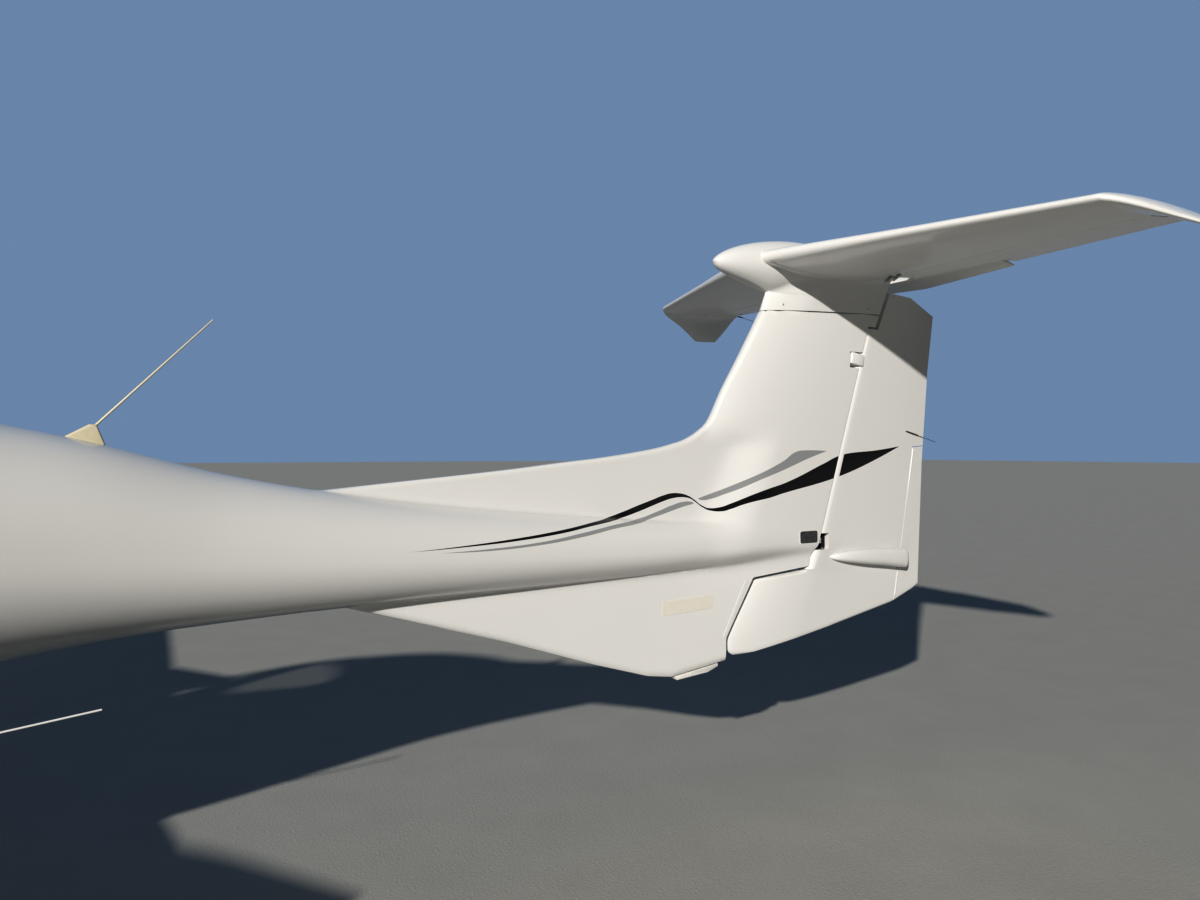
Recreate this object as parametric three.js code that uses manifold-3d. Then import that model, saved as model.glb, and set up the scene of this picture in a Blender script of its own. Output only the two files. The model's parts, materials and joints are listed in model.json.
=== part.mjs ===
// Twin-engine light aircraft with a slim tail boom and a T-tail.
// Millimetres. Nose towards -X, starboard wing towards +Y, up is +Z.
// The origin is on the ground, below the middle of the overall length.

import * as THREE from 'three';
import { mergeGeometries, mergeVertices } from 'three/addons/utils/BufferGeometryUtils.js';
import Module from 'manifold-3d';

const wasm = await Module();
wasm.setup();

// Driving dimensions
const LENGTH = 8560;
const NOSE_X = -LENGTH / 2;
const GAP = 0.4;
const SEAM = 6;
const HINGE_SLOT = 7;
const TAB_SLOT = 10;
const CABIN_WALL = 24;
const BOOM_WALL = 12;
const GLASS_THICKNESS = 6;

// Landing gear
const NOSE_WHEEL = { x: NOSE_X + 1120, radius: 178, width: 126 };
const MAIN_WHEEL = { x: NOSE_X + 2800, y: 1475, radius: 190, width: 154 };
const MAIN_LEG_X = MAIN_WHEEL.x - 130;

// Engines and propellers
const ENGINE_Y = 1680;
const SHAFT_Z = 1165;
const PROP_X = NOSE_X + 975;
const PROP_RADIUS = 935;
const SPINNER_RADIUS = 165;
const SPINNER_LENGTH = 290;
const FIREWALL_X = NOSE_X + 1780;
const COWL_WALL = 14;

// Tail
const TAIL_SPAN_HALF = 1370;
const STABILISER_Z = 2382;
const ELEVATOR_AXIS = { x: 3845, z: 2382 };
const ELEVATOR_TAB_X = 4095;
const ELEVATOR_TAB_DROOP = 13.5;
const ELEVATOR_TAB_HALF = 560;
const RUDDER_AXIS_FOOT = { x: 3573, z: 1362 };
const RUDDER_AXIS_SLOPE = 0.322;
const RUDDER_NOSE = 46;
const FIN_CAP_Z = 2118;

const looks = {
  gelcoat: { color: 0xf2f1ec, roughness: 0.28, metalness: 0 },
  glass: { color: 0xb9cdd3, roughness: 0.05, metalness: 0, transparent: true, opacity: 0.35 },
  cream: { color: 0xded9c4, roughness: 0.5, metalness: 0 },
  black: { color: 0x17181a, roughness: 0.55, metalness: 0 },
  rubber: { color: 0x1c1c1d, roughness: 0.9, metalness: 0 },
  steel: { color: 0x8d9094, roughness: 0.4, metalness: 0.9 },
  castIron: { color: 0x55585c, roughness: 0.7, metalness: 0.6 },
  alloy: { color: 0xc9cccf, roughness: 0.35, metalness: 0.8 },
  leather: { color: 0x4c4f55, roughness: 0.7, metalness: 0 },
  carpet: { color: 0x3a3c40, roughness: 0.95, metalness: 0 },
  blade: { color: 0xe6e5e0, roughness: 0.4, metalness: 0 },
};

const group = new THREE.Group();

// Adds one named piece to the model.
function piece(name, shape, look, position = [0, 0, 0], rotation = [0, 0, 0]) {
  const geometry = shape.isBufferGeometry ? shape : geometryOf(shape);
  const mesh = new THREE.Mesh(geometry, new THREE.MeshStandardMaterial(looks[look]));
  mesh.name = name;
  mesh.position.set(...position);
  mesh.rotation.set(...rotation);
  group.add(mesh);
  return mesh;
}

// Keeps position only, with shared vertices merged.
function bare(geometry) {
  const plain = geometry.clone();
  plain.deleteAttribute('normal');
  plain.deleteAttribute('uv');
  const merged = mergeVertices(plain, 1e-3);
  const index = merged.index.array;
  const kept = [];
  for (let i = 0; i < index.length; i += 3) {
    const [a, b, c] = [index[i], index[i + 1], index[i + 2]];
    if (a !== b && b !== c && c !== a) {
      kept.push(a, b, c);
    }
  }
  merged.setIndex(kept);
  return merged;
}

function solid(geometry) {
  const clean = bare(geometry);
  const mesh = new wasm.Mesh({
    numProp: 3,
    vertProperties: new Float32Array(clean.attributes.position.array),
    triVerts: new Uint32Array(clean.index.array),
  });
  return new wasm.Manifold(mesh);
}

function geometryOf(manifold) {
  const mesh = manifold.getMesh();
  const geometry = new THREE.BufferGeometry();
  geometry.setAttribute('position', new THREE.BufferAttribute(new Float32Array(mesh.vertProperties), 3));
  geometry.setIndex(Array.from(mesh.triVerts));
  geometry.computeVertexNormals();
  return geometry;
}

function signedVolume(positions, index) {
  const a = new THREE.Vector3();
  const b = new THREE.Vector3();
  const c = new THREE.Vector3();
  let sum = 0;
  for (let i = 0; i < index.length; i += 3) {
    a.fromArray(positions, 3 * index[i]);
    b.fromArray(positions, 3 * index[i + 1]);
    c.fromArray(positions, 3 * index[i + 2]);
    sum += a.dot(b.cross(c));
  }
  return sum / 6;
}

// Joins rings of equally many points into a closed solid with flat ends.
function loft(rings) {
  const count = rings[0].length;
  const positions = rings.flat().flatMap((point) => [point.x, point.y, point.z]);
  const index = [];
  for (let r = 0; r + 1 < rings.length; r += 1) {
    for (let k = 0; k < count; k += 1) {
      const a = r * count + k;
      const b = r * count + ((k + 1) % count);
      const next = rings[r + 1];
      const rising = rings[r][k].distanceTo(next[(k + 1) % count]);
      const falling = rings[r][(k + 1) % count].distanceTo(next[k]);
      // The shorter diagonal keeps a mirror image's facets alike.
      if (rising < falling) {
        index.push(a, b, b + count, a, b + count, a + count);
      } else {
        index.push(a, b, a + count, b, b + count, a + count);
      }
    }
  }
  index.push(...capFaces(rings[0], 0, true));
  index.push(...capFaces(rings.at(-1), (rings.length - 1) * count, false));
  if (signedVolume(positions, index) < 0) {
    for (let i = 0; i < index.length; i += 3) {
      [index[i + 1], index[i + 2]] = [index[i + 2], index[i + 1]];
    }
  }
  const geometry = new THREE.BufferGeometry();
  geometry.setAttribute('position', new THREE.Float32BufferAttribute(positions, 3));
  geometry.setIndex(index);
  return solid(geometry);
}

// Triangulates one end ring in its own plane, wound to close the loft.
function capFaces(ring, offset, isFirst) {
  const normal = new THREE.Vector3();
  ring.forEach((point, k) => {
    normal.add(point.clone().cross(ring[(k + 1) % ring.length]));
  });
  normal.normalize();
  const toPlane = new THREE.Quaternion().setFromUnitVectors(normal, new THREE.Vector3(0, 0, 1));
  const outline = ring.map((point) => {
    const flat = point.clone().applyQuaternion(toPlane);
    return new THREE.Vector2(flat.x, flat.y);
  });
  const faces = THREE.ShapeUtils.triangulateShape(outline, []);
  return faces.flatMap(([a, b, c]) => {
    const order = isFirst ? [a, c, b] : [a, b, c];
    return order.map((k) => k + offset);
  });
}

const point = (x, y, z) => new THREE.Vector3(x, y, z);

// Value at x on a smooth curve through [x, value] rows.
function along(rows, x) {
  const last = rows.length - 1;
  if (x <= rows[0][0]) {
    return rows[0][1];
  }
  if (x >= rows[last][0]) {
    return rows[last][1];
  }
  const i = rows.findIndex((row) => row[0] > x) - 1;
  const slope = (k) => {
    const low = rows[Math.max(k - 1, 0)];
    const high = rows[Math.min(k + 1, last)];
    return (high[1] - low[1]) / (high[0] - low[0]);
  };
  const width = rows[i + 1][0] - rows[i][0];
  const t = (x - rows[i][0]) / width;
  const t2 = t * t;
  const t3 = t2 * t;
  return (2 * t3 - 3 * t2 + 1) * rows[i][1] + (t3 - 2 * t2 + t) * width * slope(i)
    + (3 * t2 - 2 * t3) * rows[i + 1][1] + (t3 - t2) * width * slope(i + 1);
}

// Straight lines through [x, value] rows.
function between(rows, x) {
  for (let i = 0; i + 1 < rows.length; i += 1) {
    if (x <= rows[i + 1][0] || i + 2 === rows.length) {
      const t = (x - rows[i][0]) / (rows[i + 1][0] - rows[i][0]);
      return rows[i][1] + t * (rows[i + 1][1] - rows[i][1]);
    }
  }
  return rows[0][1];
}

// A rounded section square to X. The power is 2 for an ellipse and more for a boxier form.
function roundSection(x, y, top, bottom, halfWidth, middle, power, count) {
  return Array.from({ length: count }, (_, k) => {
    const angle = (2 * Math.PI * (k + 0.5)) / count;
    const c = Math.cos(angle);
    const s = Math.sin(angle);
    const height = s > 0 ? top - middle : middle - bottom;
    const across = Math.sign(c) * Math.abs(c) ** (2 / power) * halfWidth;
    const up = Math.sign(s) * Math.abs(s) ** (2 / power) * height;
    return point(x, y + across, middle + up);
  });
}

// A prism whose outline [x, z] is seen from the side and which runs from y0 to y1.
function sidePrism(outline, y0, y1) {
  return loft([y0, y1].map((y) => outline.map(([x, z]) => point(x, y, z))));
}

// A prism whose outline [x, y] is seen from above.
function topPrism(outline, z0, z1) {
  return loft([z0, z1].map((z) => outline.map(([x, y]) => point(x, y, z))));
}

// A prism whose outline [y, z] is seen from the front.
function frontPrism(outline, x0, x1) {
  return loft([x0, x1].map((x) => outline.map(([y, z]) => point(x, y, z))));
}

function box(x0, x1, y0, y1, z0, z1) {
  return topPrism([[x0, y0], [x1, y0], [x1, y1], [x0, y1]], z0, z1);
}

// A round bar between two points; the second radius may differ.
function bar(from, to, radius, endRadius = radius, sides = 14) {
  const axis = to.clone().sub(from).normalize();
  const turn = new THREE.Quaternion().setFromUnitVectors(new THREE.Vector3(0, 0, 1), axis);
  return loft([[from, radius], [to, endRadius]].map(([centre, r]) => (
    Array.from({ length: sides }, (_, k) => {
      const angle = (2 * Math.PI * k) / sides;
      const offset = point(r * Math.cos(angle), r * Math.sin(angle), 0);
      return offset.applyQuaternion(turn).add(centre);
    })
  )));
}

// A closed profile [distance from the axis, place along it] turned about the Y axis.
function turnedAboutY(profile, segments) {
  const points = profile.map(([r, y]) => new THREE.Vector2(r, y));
  return new THREE.LatheGeometry(points, segments);
}

function mirrored(manifold) {
  const geometry = geometryOf(manifold);
  geometry.scale(1, -1, 1);
  const index = geometry.index.array;
  for (let i = 0; i < index.length; i += 3) {
    [index[i + 1], index[i + 2]] = [index[i + 2], index[i + 1]];
  }
  geometry.computeVertexNormals();
  return geometry;
}

const sides = [
  { name: 'left', sign: -1 },
  { name: 'right', sign: 1 },
];

// Makes a starboard piece and its port mirror image.
function pair(name, manifold, look) {
  for (const side of sides) {
    const shape = side.sign > 0 ? geometryOf(manifold) : mirrored(manifold);
    piece(`${name}_${side.name}`, shape, look);
  }
}

// Fuselage: distance behind the nose, top, bottom, half width, power of the section
const hullRows = [
  { s: 0, top: 925, bottom: 835, half: 45, power: 2 },
  { s: 40, top: 985, bottom: 785, half: 105, power: 2 },
  { s: 130, top: 1050, bottom: 730, half: 175, power: 2.1 },
  { s: 330, top: 1125, bottom: 675, half: 255, power: 2.2 },
  { s: 650, top: 1208, bottom: 632, half: 345, power: 2.3 },
  { s: 1000, top: 1290, bottom: 600, half: 430, power: 2.4 },
  { s: 1330, top: 1368, bottom: 580, half: 505, power: 2.4 },
  { s: 1600, top: 1508, bottom: 568, half: 550, power: 2.4 },
  { s: 1900, top: 1682, bottom: 558, half: 585, power: 2.4 },
  { s: 2200, top: 1828, bottom: 552, half: 605, power: 2.4 },
  { s: 2550, top: 1932, bottom: 550, half: 612, power: 2.4 },
  { s: 2900, top: 1962, bottom: 556, half: 604, power: 2.4 },
  { s: 3300, top: 1940, bottom: 586, half: 574, power: 2.4 },
  { s: 3700, top: 1868, bottom: 648, half: 520, power: 2.3 },
  { s: 4100, top: 1755, bottom: 762, half: 445, power: 2.2 },
  { s: 4450, top: 1628, bottom: 868, half: 372, power: 2.1 },
  { s: 4800, top: 1545, bottom: 922, half: 302, power: 2.1 },
  { s: 5200, top: 1436, bottom: 948, half: 238, power: 2 },
  { s: 5700, top: 1345, bottom: 968, half: 188, power: 2 },
  { s: 6300, top: 1276, bottom: 980, half: 148, power: 2 },
  { s: 6900, top: 1222, bottom: 984, half: 112, power: 2 },
  { s: 7400, top: 1192, bottom: 986, half: 78, power: 2 },
  { s: 7730, top: 1176, bottom: 990, half: 54, power: 2 },
];
const HULL_POINTS = 26;

// Height of the widest level, as a share of the section's height above its bottom
const WIDEST_LEVEL = 0.44;

function hullWall(s) {
  return between([[0, CABIN_WALL], [3900, CABIN_WALL], [5200, BOOM_WALL], [8000, BOOM_WALL]], s);
}

function hullSection(row, inset) {
  const middle = row.bottom + WIDEST_LEVEL * (row.top - row.bottom);
  return roundSection(NOSE_X + row.s, 0, row.top - inset, row.bottom + inset, row.half - inset,
    middle, row.power, HULL_POINTS);
}

const hullSolid = (inset) => loft(hullRows.map((row) => hullSection(row, inset)));
const hullOuter = hullSolid(0);
const hullClear = hullSolid(-GAP);
const innerRows = hullRows.filter((row) => row.s >= 130 && row.s <= 7400);
const hullInner = loft(innerRows.map((row) => hullSection(row, hullWall(row.s))));
const cabinSpace = loft(innerRows.map((row) => hullSection(row, hullWall(row.s) + GAP)));
const hullShell = hullOuter.subtract(hullInner);

// Openings in the hull, seen from the side as [x, z]
const station = (s, z) => [NOSE_X + s, z];
const canopyOutline = [
  station(1345, 1330), station(1800, 1262), station(2700, 1262), station(2790, 2200), station(1345, 2200),
];
const doorOutline = [
  station(2810, 1262), station(3560, 1262), station(3700, 1400), station(3700, 2200), station(2860, 2200),
];

// Moves each corner of a convex outline inwards by the margin.
function shrunk(outline, margin) {
  const area = outline.reduce((sum, [x, z], k) => {
    const [nx, nz] = outline[(k + 1) % outline.length];
    return sum + x * nz - nx * z;
  }, 0);
  const sign = Math.sign(area);
  const edges = outline.map(([x, z], k) => {
    const [nx, nz] = outline[(k + 1) % outline.length];
    const length = Math.hypot(nx - x, nz - z);
    const normal = [(-sign * (nz - z)) / length, (sign * (nx - x)) / length];
    return { x: x + margin * normal[0], z: z + margin * normal[1], dx: nx - x, dz: nz - z };
  });
  return edges.map((edge, k) => {
    const before = edges[(k + edges.length - 1) % edges.length];
    const cross = before.dx * edge.dz - before.dz * edge.dx;
    const t = ((edge.x - before.x) * edge.dz - (edge.z - before.z) * edge.dx) / cross;
    return [before.x + t * before.dx, before.z + t * before.dz];
  });
}

const WIDE = 1500;

// A pin on a moving panel, held at both ends by eyes on the fixed one, all on the hinge's axis
function knuckle(start, end, radius, eyeLength) {
  const axis = end.clone().sub(start).normalize();
  const beyond = (from, distance) => from.clone().addScaledVector(axis, distance);
  const eyeAt = (r, margin) => bar(beyond(start, -eyeLength - margin), beyond(start, -GAP + margin), r)
    .add(bar(beyond(end, GAP - margin), beyond(end, eyeLength + margin), r));
  return {
    pin: bar(start, end, radius),
    pinRoom: bar(beyond(start, -GAP), beyond(end, GAP), radius + 4),
    eyes: eyeAt(radius, 0),
    eyesRoom: eyeAt(radius + 6, GAP),
  };
}

const canopyAxisAt = (y) => point(NOSE_X + 1350, y, 1376);
const canopyKnuckle = knuckle(canopyAxisAt(-90), canopyAxisAt(90), 12, 40);
const doorAxisAt = (x) => point(x, -73, 1937 - 0.07 * (x + 980));
const doorKnuckle = knuckle(doorAxisAt(-1040), doorAxisAt(-940), 12, 40);
const hatchAxisAt = (s) => point(NOSE_X + s, 123, 1134 + 0.2646 * (s - 426));
const hatchKnuckle = knuckle(hatchAxisAt(600), hatchAxisAt(720), 7, 35);
const DOOR_HINGE_Y = 70;
const CANOPY_RIM = 75;
const DOOR_RIM = 80;
const glassShell = hullSolid(CABIN_WALL / 2 - GLASS_THICKNESS / 2)
  .subtract(hullSolid(CABIN_WALL / 2 + GLASS_THICKNESS / 2));

// Front canopy: one clear bubble on a frame hinged at its front edge
const canopyPanel = hullShell.intersect(sidePrism(shrunk(canopyOutline, SEAM), -WIDE, WIDE));
const canopyWindow = shrunk(canopyOutline, CANOPY_RIM);
const canopyFrame = canopyPanel
  .subtract(sidePrism(canopyWindow, -WIDE, WIDE))
  .subtract(canopyKnuckle.eyesRoom)
  .add(canopyKnuckle.pin);
const canopyGlass = glassShell.intersect(sidePrism(shrunk(canopyWindow, GAP), -WIDE, WIDE));
piece('canopy_frame', canopyFrame, 'gelcoat');
piece('canopy_glass', canopyGlass, 'glass');

// Rear door on the port side, hinged along the roof
const doorPanel = hullShell.intersect(sidePrism(shrunk(doorOutline, SEAM), -WIDE, -DOOR_HINGE_Y - SEAM));
const doorWindow = shrunk(doorOutline, DOOR_RIM);
const doorFrame = doorPanel
  .subtract(sidePrism(doorWindow, -WIDE, -DOOR_HINGE_Y - DOOR_RIM))
  .subtract(doorKnuckle.eyesRoom)
  .add(doorKnuckle.pin);
const doorGlass = glassShell.intersect(
  sidePrism(shrunk(doorWindow, GAP), -WIDE, -DOOR_HINGE_Y - DOOR_RIM - GAP),
);
piece('rear_door', doorFrame, 'gelcoat');
piece('rear_door_glass', doorGlass, 'glass');

// Fixed rear window on the starboard side
const sideGlass = glassShell.intersect(
  sidePrism(shrunk(doorWindow, GAP), DOOR_HINGE_Y + DOOR_RIM + GAP, WIDE),
);
piece('rear_window_right', sideGlass, 'glass');

// Nose hatches, one a side, hinged along their upper edge
const HATCH_HINGE_Y = 120;
const hatchOutline = [
  station(420, 960), station(980, 960), station(980, 1500), station(420, 1500),
];
const hatchPanel = (margin) => sidePrism(
  shrunk(hatchOutline, margin), HATCH_HINGE_Y + margin, WIDE,
);
const hatch = hullShell.intersect(hatchPanel(SEAM)).subtract(hatchKnuckle.eyesRoom).add(hatchKnuckle.pin);
pair('nose_hatch', hatch, 'gelcoat');

// Fin: horizontal slices. The leading edge is a straight dorsal fillet that curves up into the fin.
const finEdgeRows = [
  [1376, 1188], [1442, 1893], [1473, 2171], [1493, 2359], [1526, 2586], [1547, 2680], [1569, 2754],
  [1610, 2829], [1660, 2883], [1786, 2949], [1934, 3040], [2049, 3108], [2154, 3167], [2231, 3193],
  [2330, 3215],
];
const FIN_LEVELS = [
  1150, 1376, 1442, 1493, 1526, 1569, 1610, 1660, 1786, 1934, FIN_CAP_Z - 1, FIN_CAP_Z, 2231, 2330,
];
const DORSAL_HALF = 16;
const FIN_RATIO = 0.098;

const rudderAxisX = (z) => RUDDER_AXIS_FOOT.x + RUDDER_AXIS_SLOPE * (z - RUDDER_AXIS_FOOT.z);
const rudderTrailX = (z) => along([[560, 3990], [841, 4168], [1463, 4199], [1920, 4240], [2220, 4282],
  [2330, 4290]], z);
const finLeadX = (z) => along(finEdgeRows, Math.max(z, finEdgeRows[0][0]));
const mainLeadX = (z) => 2949 + 0.548 * (z - 1786);

// Half thickness of a symmetric aerofoil at a share of the chord
function aerofoilHalf(share, ratio) {
  const c = Math.min(Math.max(share, 0), 1);
  return 5 * ratio * (0.2969 * Math.sqrt(c) - 0.126 * c - 0.3516 * c ** 2 + 0.2843 * c ** 3 - 0.1036 * c ** 4);
}

function finHalf(x, z) {
  const lead = mainLeadX(z);
  const chord = rudderTrailX(z) - lead;
  const main = chord * aerofoilHalf((x - lead) / chord, FIN_RATIO);
  const fromEdge = Math.max(x - finLeadX(z), 0);
  const edge = DORSAL_HALF * Math.sqrt(Math.min(fromEdge / 40, 1));
  return Math.max(main, edge, 0.5);
}

// A slice that is symmetric about the middle plane, from the front x to the rear x.
function symmetricSlice(z, xs, half) {
  const right = xs.map((x) => point(x, half(x, z), z));
  const left = xs.map((x) => point(x, -half(x, z), z)).reverse();
  return [...right, ...left];
}

// The fin ends ahead of the rudder's nose; its cap reaches further back, over the rudder's shoulder.
const finRearX = (z) => (
  z < FIN_CAP_Z ? rudderAxisX(z) - RUDDER_NOSE - HINGE_SLOT : 3827 + 0.45 * (z - FIN_CAP_Z)
);

const SLICE_SHARES = [0, 0.02, 0.07, 0.16, 0.3, 0.5, 0.75, 1];
const finSlices = FIN_LEVELS.map((z) => {
  const front = finLeadX(z);
  const length = finRearX(z) - front;
  return symmetricSlice(z, SLICE_SHARES.map((share) => front + share * length), finHalf);
});
const fin = loft(finSlices);

// Ventral fin under the end of the boom, seen from the side as [x, z]
const ventralOutline = [
  [1330, 1010], [1330, 953], [1917, 778], [2304, 645], [2557, 568], [2674, 551], [2842, 575],
  [2962, 592], [2962, 692], [3048, 917], [3090, 1010],
];
const VENTRAL_HALF = 24;
const ventralFin = sidePrism(ventralOutline, -VENTRAL_HALF, VENTRAL_HALF);

// Bullet fairing that joins the fin and the stabiliser: x, top, bottom, half width
const bulletRows = [
  [2907, 2362, 2352, 5],
  [2935, 2392, 2330, 32],
  [2980, 2418, 2306, 52],
  [3070, 2448, 2276, 72],
  [3200, 2478, 2252, 84],
  [3366, 2490, 2250, 88],
  [3600, 2474, 2268, 80],
  [3790, 2444, 2296, 60],
];
const bullet = loft(bulletRows.map(([x, top, bottom, half]) => (
  roundSection(x, 0, top, bottom, half, 2372, 2, 20)
)));
const BULLET_JOINT_Z = 2262;

// The rear end of the boom follows the rudder's nose.
const boomEnd = loft([600, 1500].map((z) => {
  const start = finRearX(z);
  return [point(start, -400, z), point(start, 400, z), point(start + 900, 400, z), point(start + 900, -400, z)];
}));

// Joints between the lengths of the fuselage, behind the nose
const NOSE_JOINT = 1290;
const BOOM_JOINT = 4100;
const BULKHEAD = 20;
const noseBulkhead = hullSolid(CABIN_WALL / 2).intersect(
  box(NOSE_X + NOSE_JOINT, NOSE_X + NOSE_JOINT + BULKHEAD, -WIDE, WIDE, 0, 3000),
);
const noseBay = box(NOSE_X + 880, NOSE_X + 1270, -115, 115, 500, 720);
const canopyOpening = sidePrism(canopyOutline, -WIDE, WIDE);
const doorOpening = sidePrism(doorOutline, -WIDE, -DOOR_HINGE_Y);
const windowOpening = sidePrism(doorWindow, DOOR_HINGE_Y + DOOR_RIM, WIDE);
const hatchOpening = hatchPanel(0);

const fuselage = hullShell
  .add(noseBulkhead)
  .add(fin.intersect(box(0, 5000, -WIDE, WIDE, 1150, BULLET_JOINT_Z)))
  .add(ventralFin)
  .subtract(hullInner.intersect(box(NOSE_X + 1400, 3150, -WIDE, WIDE, 0, 3000)))
  .subtract(boomEnd)
  .subtract(noseBay)
  .subtract(canopyOpening)
  .subtract(doorOpening)
  .subtract(windowOpening)
  .subtract(hatchOpening)
  .subtract(solid(mirrored(hatchOpening)))
  .subtract(canopyKnuckle.pinRoom)
  .subtract(doorKnuckle.pinRoom)
  .subtract(hatchKnuckle.pinRoom)
  .subtract(solid(mirrored(hatchKnuckle.pinRoom)))
  .add(canopyKnuckle.eyes)
  .add(doorKnuckle.eyes)
  .add(hatchKnuckle.eyes)
  .add(solid(mirrored(hatchKnuckle.eyes)));

// Rudder hinges: a lug on the fin reaches back into a notch in the rudder's nose and holds its pin.
const RUDDER_HINGES = [1110, 1957];
const RUDDER_PIN = 7;
const axisPointAt = (z) => point(rudderAxisX(z), 0, z);
const hingeLugs = RUDDER_HINGES.map((z) => (
  box(rudderAxisX(z) - RUDDER_NOSE - 60, rudderAxisX(z), -9, 9, z - 10, z + 10)
    .add(bar(point(rudderAxisX(z), 0, z - 10), point(rudderAxisX(z), 0, z + 10), 17))
    .subtract(bar(axisPointAt(z - 40), axisPointAt(z + 40), RUDDER_PIN + GAP))
));
const rudderNotches = RUDDER_HINGES.map((z) => (
  box(rudderAxisX(z) - 200, rudderAxisX(z) + 24, -WIDE, WIDE, z - 24, z + 24)
));
const rudderPins = RUDDER_HINGES.map((z) => (
  bar(axisPointAt(z - 30), axisPointAt(z + 30), RUDDER_PIN)
));
const fuselageWithLugs = hingeLugs.reduce((whole, lug) => whole.add(lug), fuselage);

// The fuselage is built in three lengths, joined at the nose bulkhead and behind the cabin.
const fuselageLengths = [
  { name: 'fuselage_nose', from: NOSE_X - 100, to: NOSE_X + NOSE_JOINT },
  { name: 'fuselage_cabin', from: NOSE_X + NOSE_JOINT, to: NOSE_X + BOOM_JOINT },
  { name: 'tail_boom', from: NOSE_X + BOOM_JOINT, to: LENGTH },
];
for (const { name, from, to } of fuselageLengths) {
  const length = box(from + GAP / 2, to - GAP / 2, -WIDE, WIDE, 0, 3000);
  piece(name, fuselageWithLugs.intersect(length), 'gelcoat');
}

// Rudder: slices square to its axis would be skewed, so they are horizontal like the fin's.
const RUDDER_TOP = 2297;
const RUDDER_HORN_TOP = 962;
const rudderFootZ = (x) => between([[2998, 611], [3107, 609], [3296, 640], [3544, 683], [3985, 768],
  [4150, 831], [4168, 843]], x);

function rudderHalf(x, z) {
  const chord = rudderTrailX(z) - mainLeadX(z);
  const share = (x - mainLeadX(z)) / chord;
  return Math.max(chord * aerofoilHalf(share, FIN_RATIO), 3);
}

// One slice: a round nose about the axis, then straight sides to the trailing edge.
function rudderSlice(z) {
  const axisX = rudderAxisX(z);
  const radius = Math.min(RUDDER_NOSE, rudderHalf(axisX, z));
  const trail = rudderTrailX(z);
  const nose = [-90, -120, -150, 180, 150, 120, 90].map((degrees) => {
    const angle = (degrees * Math.PI) / 180;
    return point(axisX + radius * Math.cos(angle), radius * Math.sin(angle), z);
  });
  const tail = [
    point(axisX + 0.5 * (trail - axisX), 0.56 * radius, z),
    point(trail, 3, z),
    point(trail, -3, z),
    point(axisX + 0.5 * (trail - axisX), -0.56 * radius, z),
  ];
  return [...nose, ...tail];
}

const rudderBlade = loft([560, 841, 1150, 1463, 1920, 2220, RUDDER_TOP].map(rudderSlice));
const HORN_HALF = 26;
const hornOutline = [
  [2968, 692], [2990, 611], [3107, 609], [3296, 640], [3544, 683], [3640, 701],
  [3560, RUDDER_HORN_TOP], [3100, RUDDER_HORN_TOP - 14], [3064, 917],
];
const horn = sidePrism(hornOutline, -HORN_HALF, HORN_HALF);
const belowRudder = sidePrism([
  [2900, 400], [4400, 400], [4400, 860], [4168, 843], [4150, 831], [3985, 768], [3544, 683],
  [3296, 640], [3107, 609], [2900, 611],
], -WIDE, WIDE);
const aboveRudder = sidePrism([
  [3800, 2420], [3800, 2299], [3967, 2299], [4105, 2290], [4280, 2208], [4400, 2150], [4400, 2420],
], -WIDE, WIDE);
const rudderShoulder = sidePrism([
  [3600, 2108], [3859, 2108], [3953, 2308], [3953, 2420], [3600, 2420],
], -WIDE, WIDE);
const RUDDER_TAB = { bottom: 812, top: 1540 };
const rudderTabLeadX = (z) => 3982 + 0.18 * (z - 778);
const rudderTabCut = (margin) => sidePrism([
  [rudderTabLeadX(RUDDER_TAB.bottom) + margin, RUDDER_TAB.bottom - 300 + margin],
  [rudderTabLeadX(RUDDER_TAB.bottom) + margin, RUDDER_TAB.bottom + margin],
  [rudderTabLeadX(RUDDER_TAB.top) + margin, RUDDER_TAB.top - margin],
  [4500, RUDDER_TAB.top + 25 - margin], [4500, RUDDER_TAB.bottom - 300 + margin],
], -WIDE, WIDE);
const rudderWhole = rudderBlade.add(horn).subtract(belowRudder).subtract(aboveRudder).subtract(rudderShoulder);
let rudder = rudderWhole.subtract(rudderTabCut(0));
for (const notch of rudderNotches) {
  rudder = rudder.subtract(notch);
}
for (const pin of rudderPins) {
  rudder = rudder.add(pin);
}
piece('rudder', rudder, 'gelcoat');

// The tab's pin runs up its hinge line to the rudder above it.
const tabAxisAt = (z) => point(rudderTabLeadX(z) + TAB_SLOT + 4, 0, z);
const rudderTabPin = bar(tabAxisAt(RUDDER_TAB.top - 60), tabAxisAt(RUDDER_TAB.top + 40), 4)
  .intersect(rudderTabCut(GAP));
const rudderTab = rudderWhole.intersect(rudderTabCut(TAB_SLOT)).add(rudderTabPin);
piece('rudder_tab', rudderTab, 'gelcoat');

// Stabiliser: y, leading edge x, trailing edge x, z, ratio of thickness to chord
const stabiliserRows = [
  { y: 0, lead: 3085, trail: 4240, z: STABILISER_Z, ratio: 0.08 },
  { y: 700, lead: 3305, trail: 4165, z: STABILISER_Z, ratio: 0.088 },
  { y: TAIL_SPAN_HALF, lead: 3515, trail: 4092, z: STABILISER_Z, ratio: 0.1 },
];
// Drooped and raked tip: outboard share, aft shift of the leading edge, drop
const tipRows = [
  { y: TAIL_SPAN_HALF + 140, lead: 3720, trail: 4098, z: STABILISER_Z - 66, ratio: 0.085 },
  { y: TAIL_SPAN_HALF + 275, lead: 3940, trail: 4100, z: STABILISER_Z - 142, ratio: 0.07 },
];
const WING_SHARES = [1, 0.72, 0.5, 0.32, 0.16, 0.06, 0.015, 0];

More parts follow.
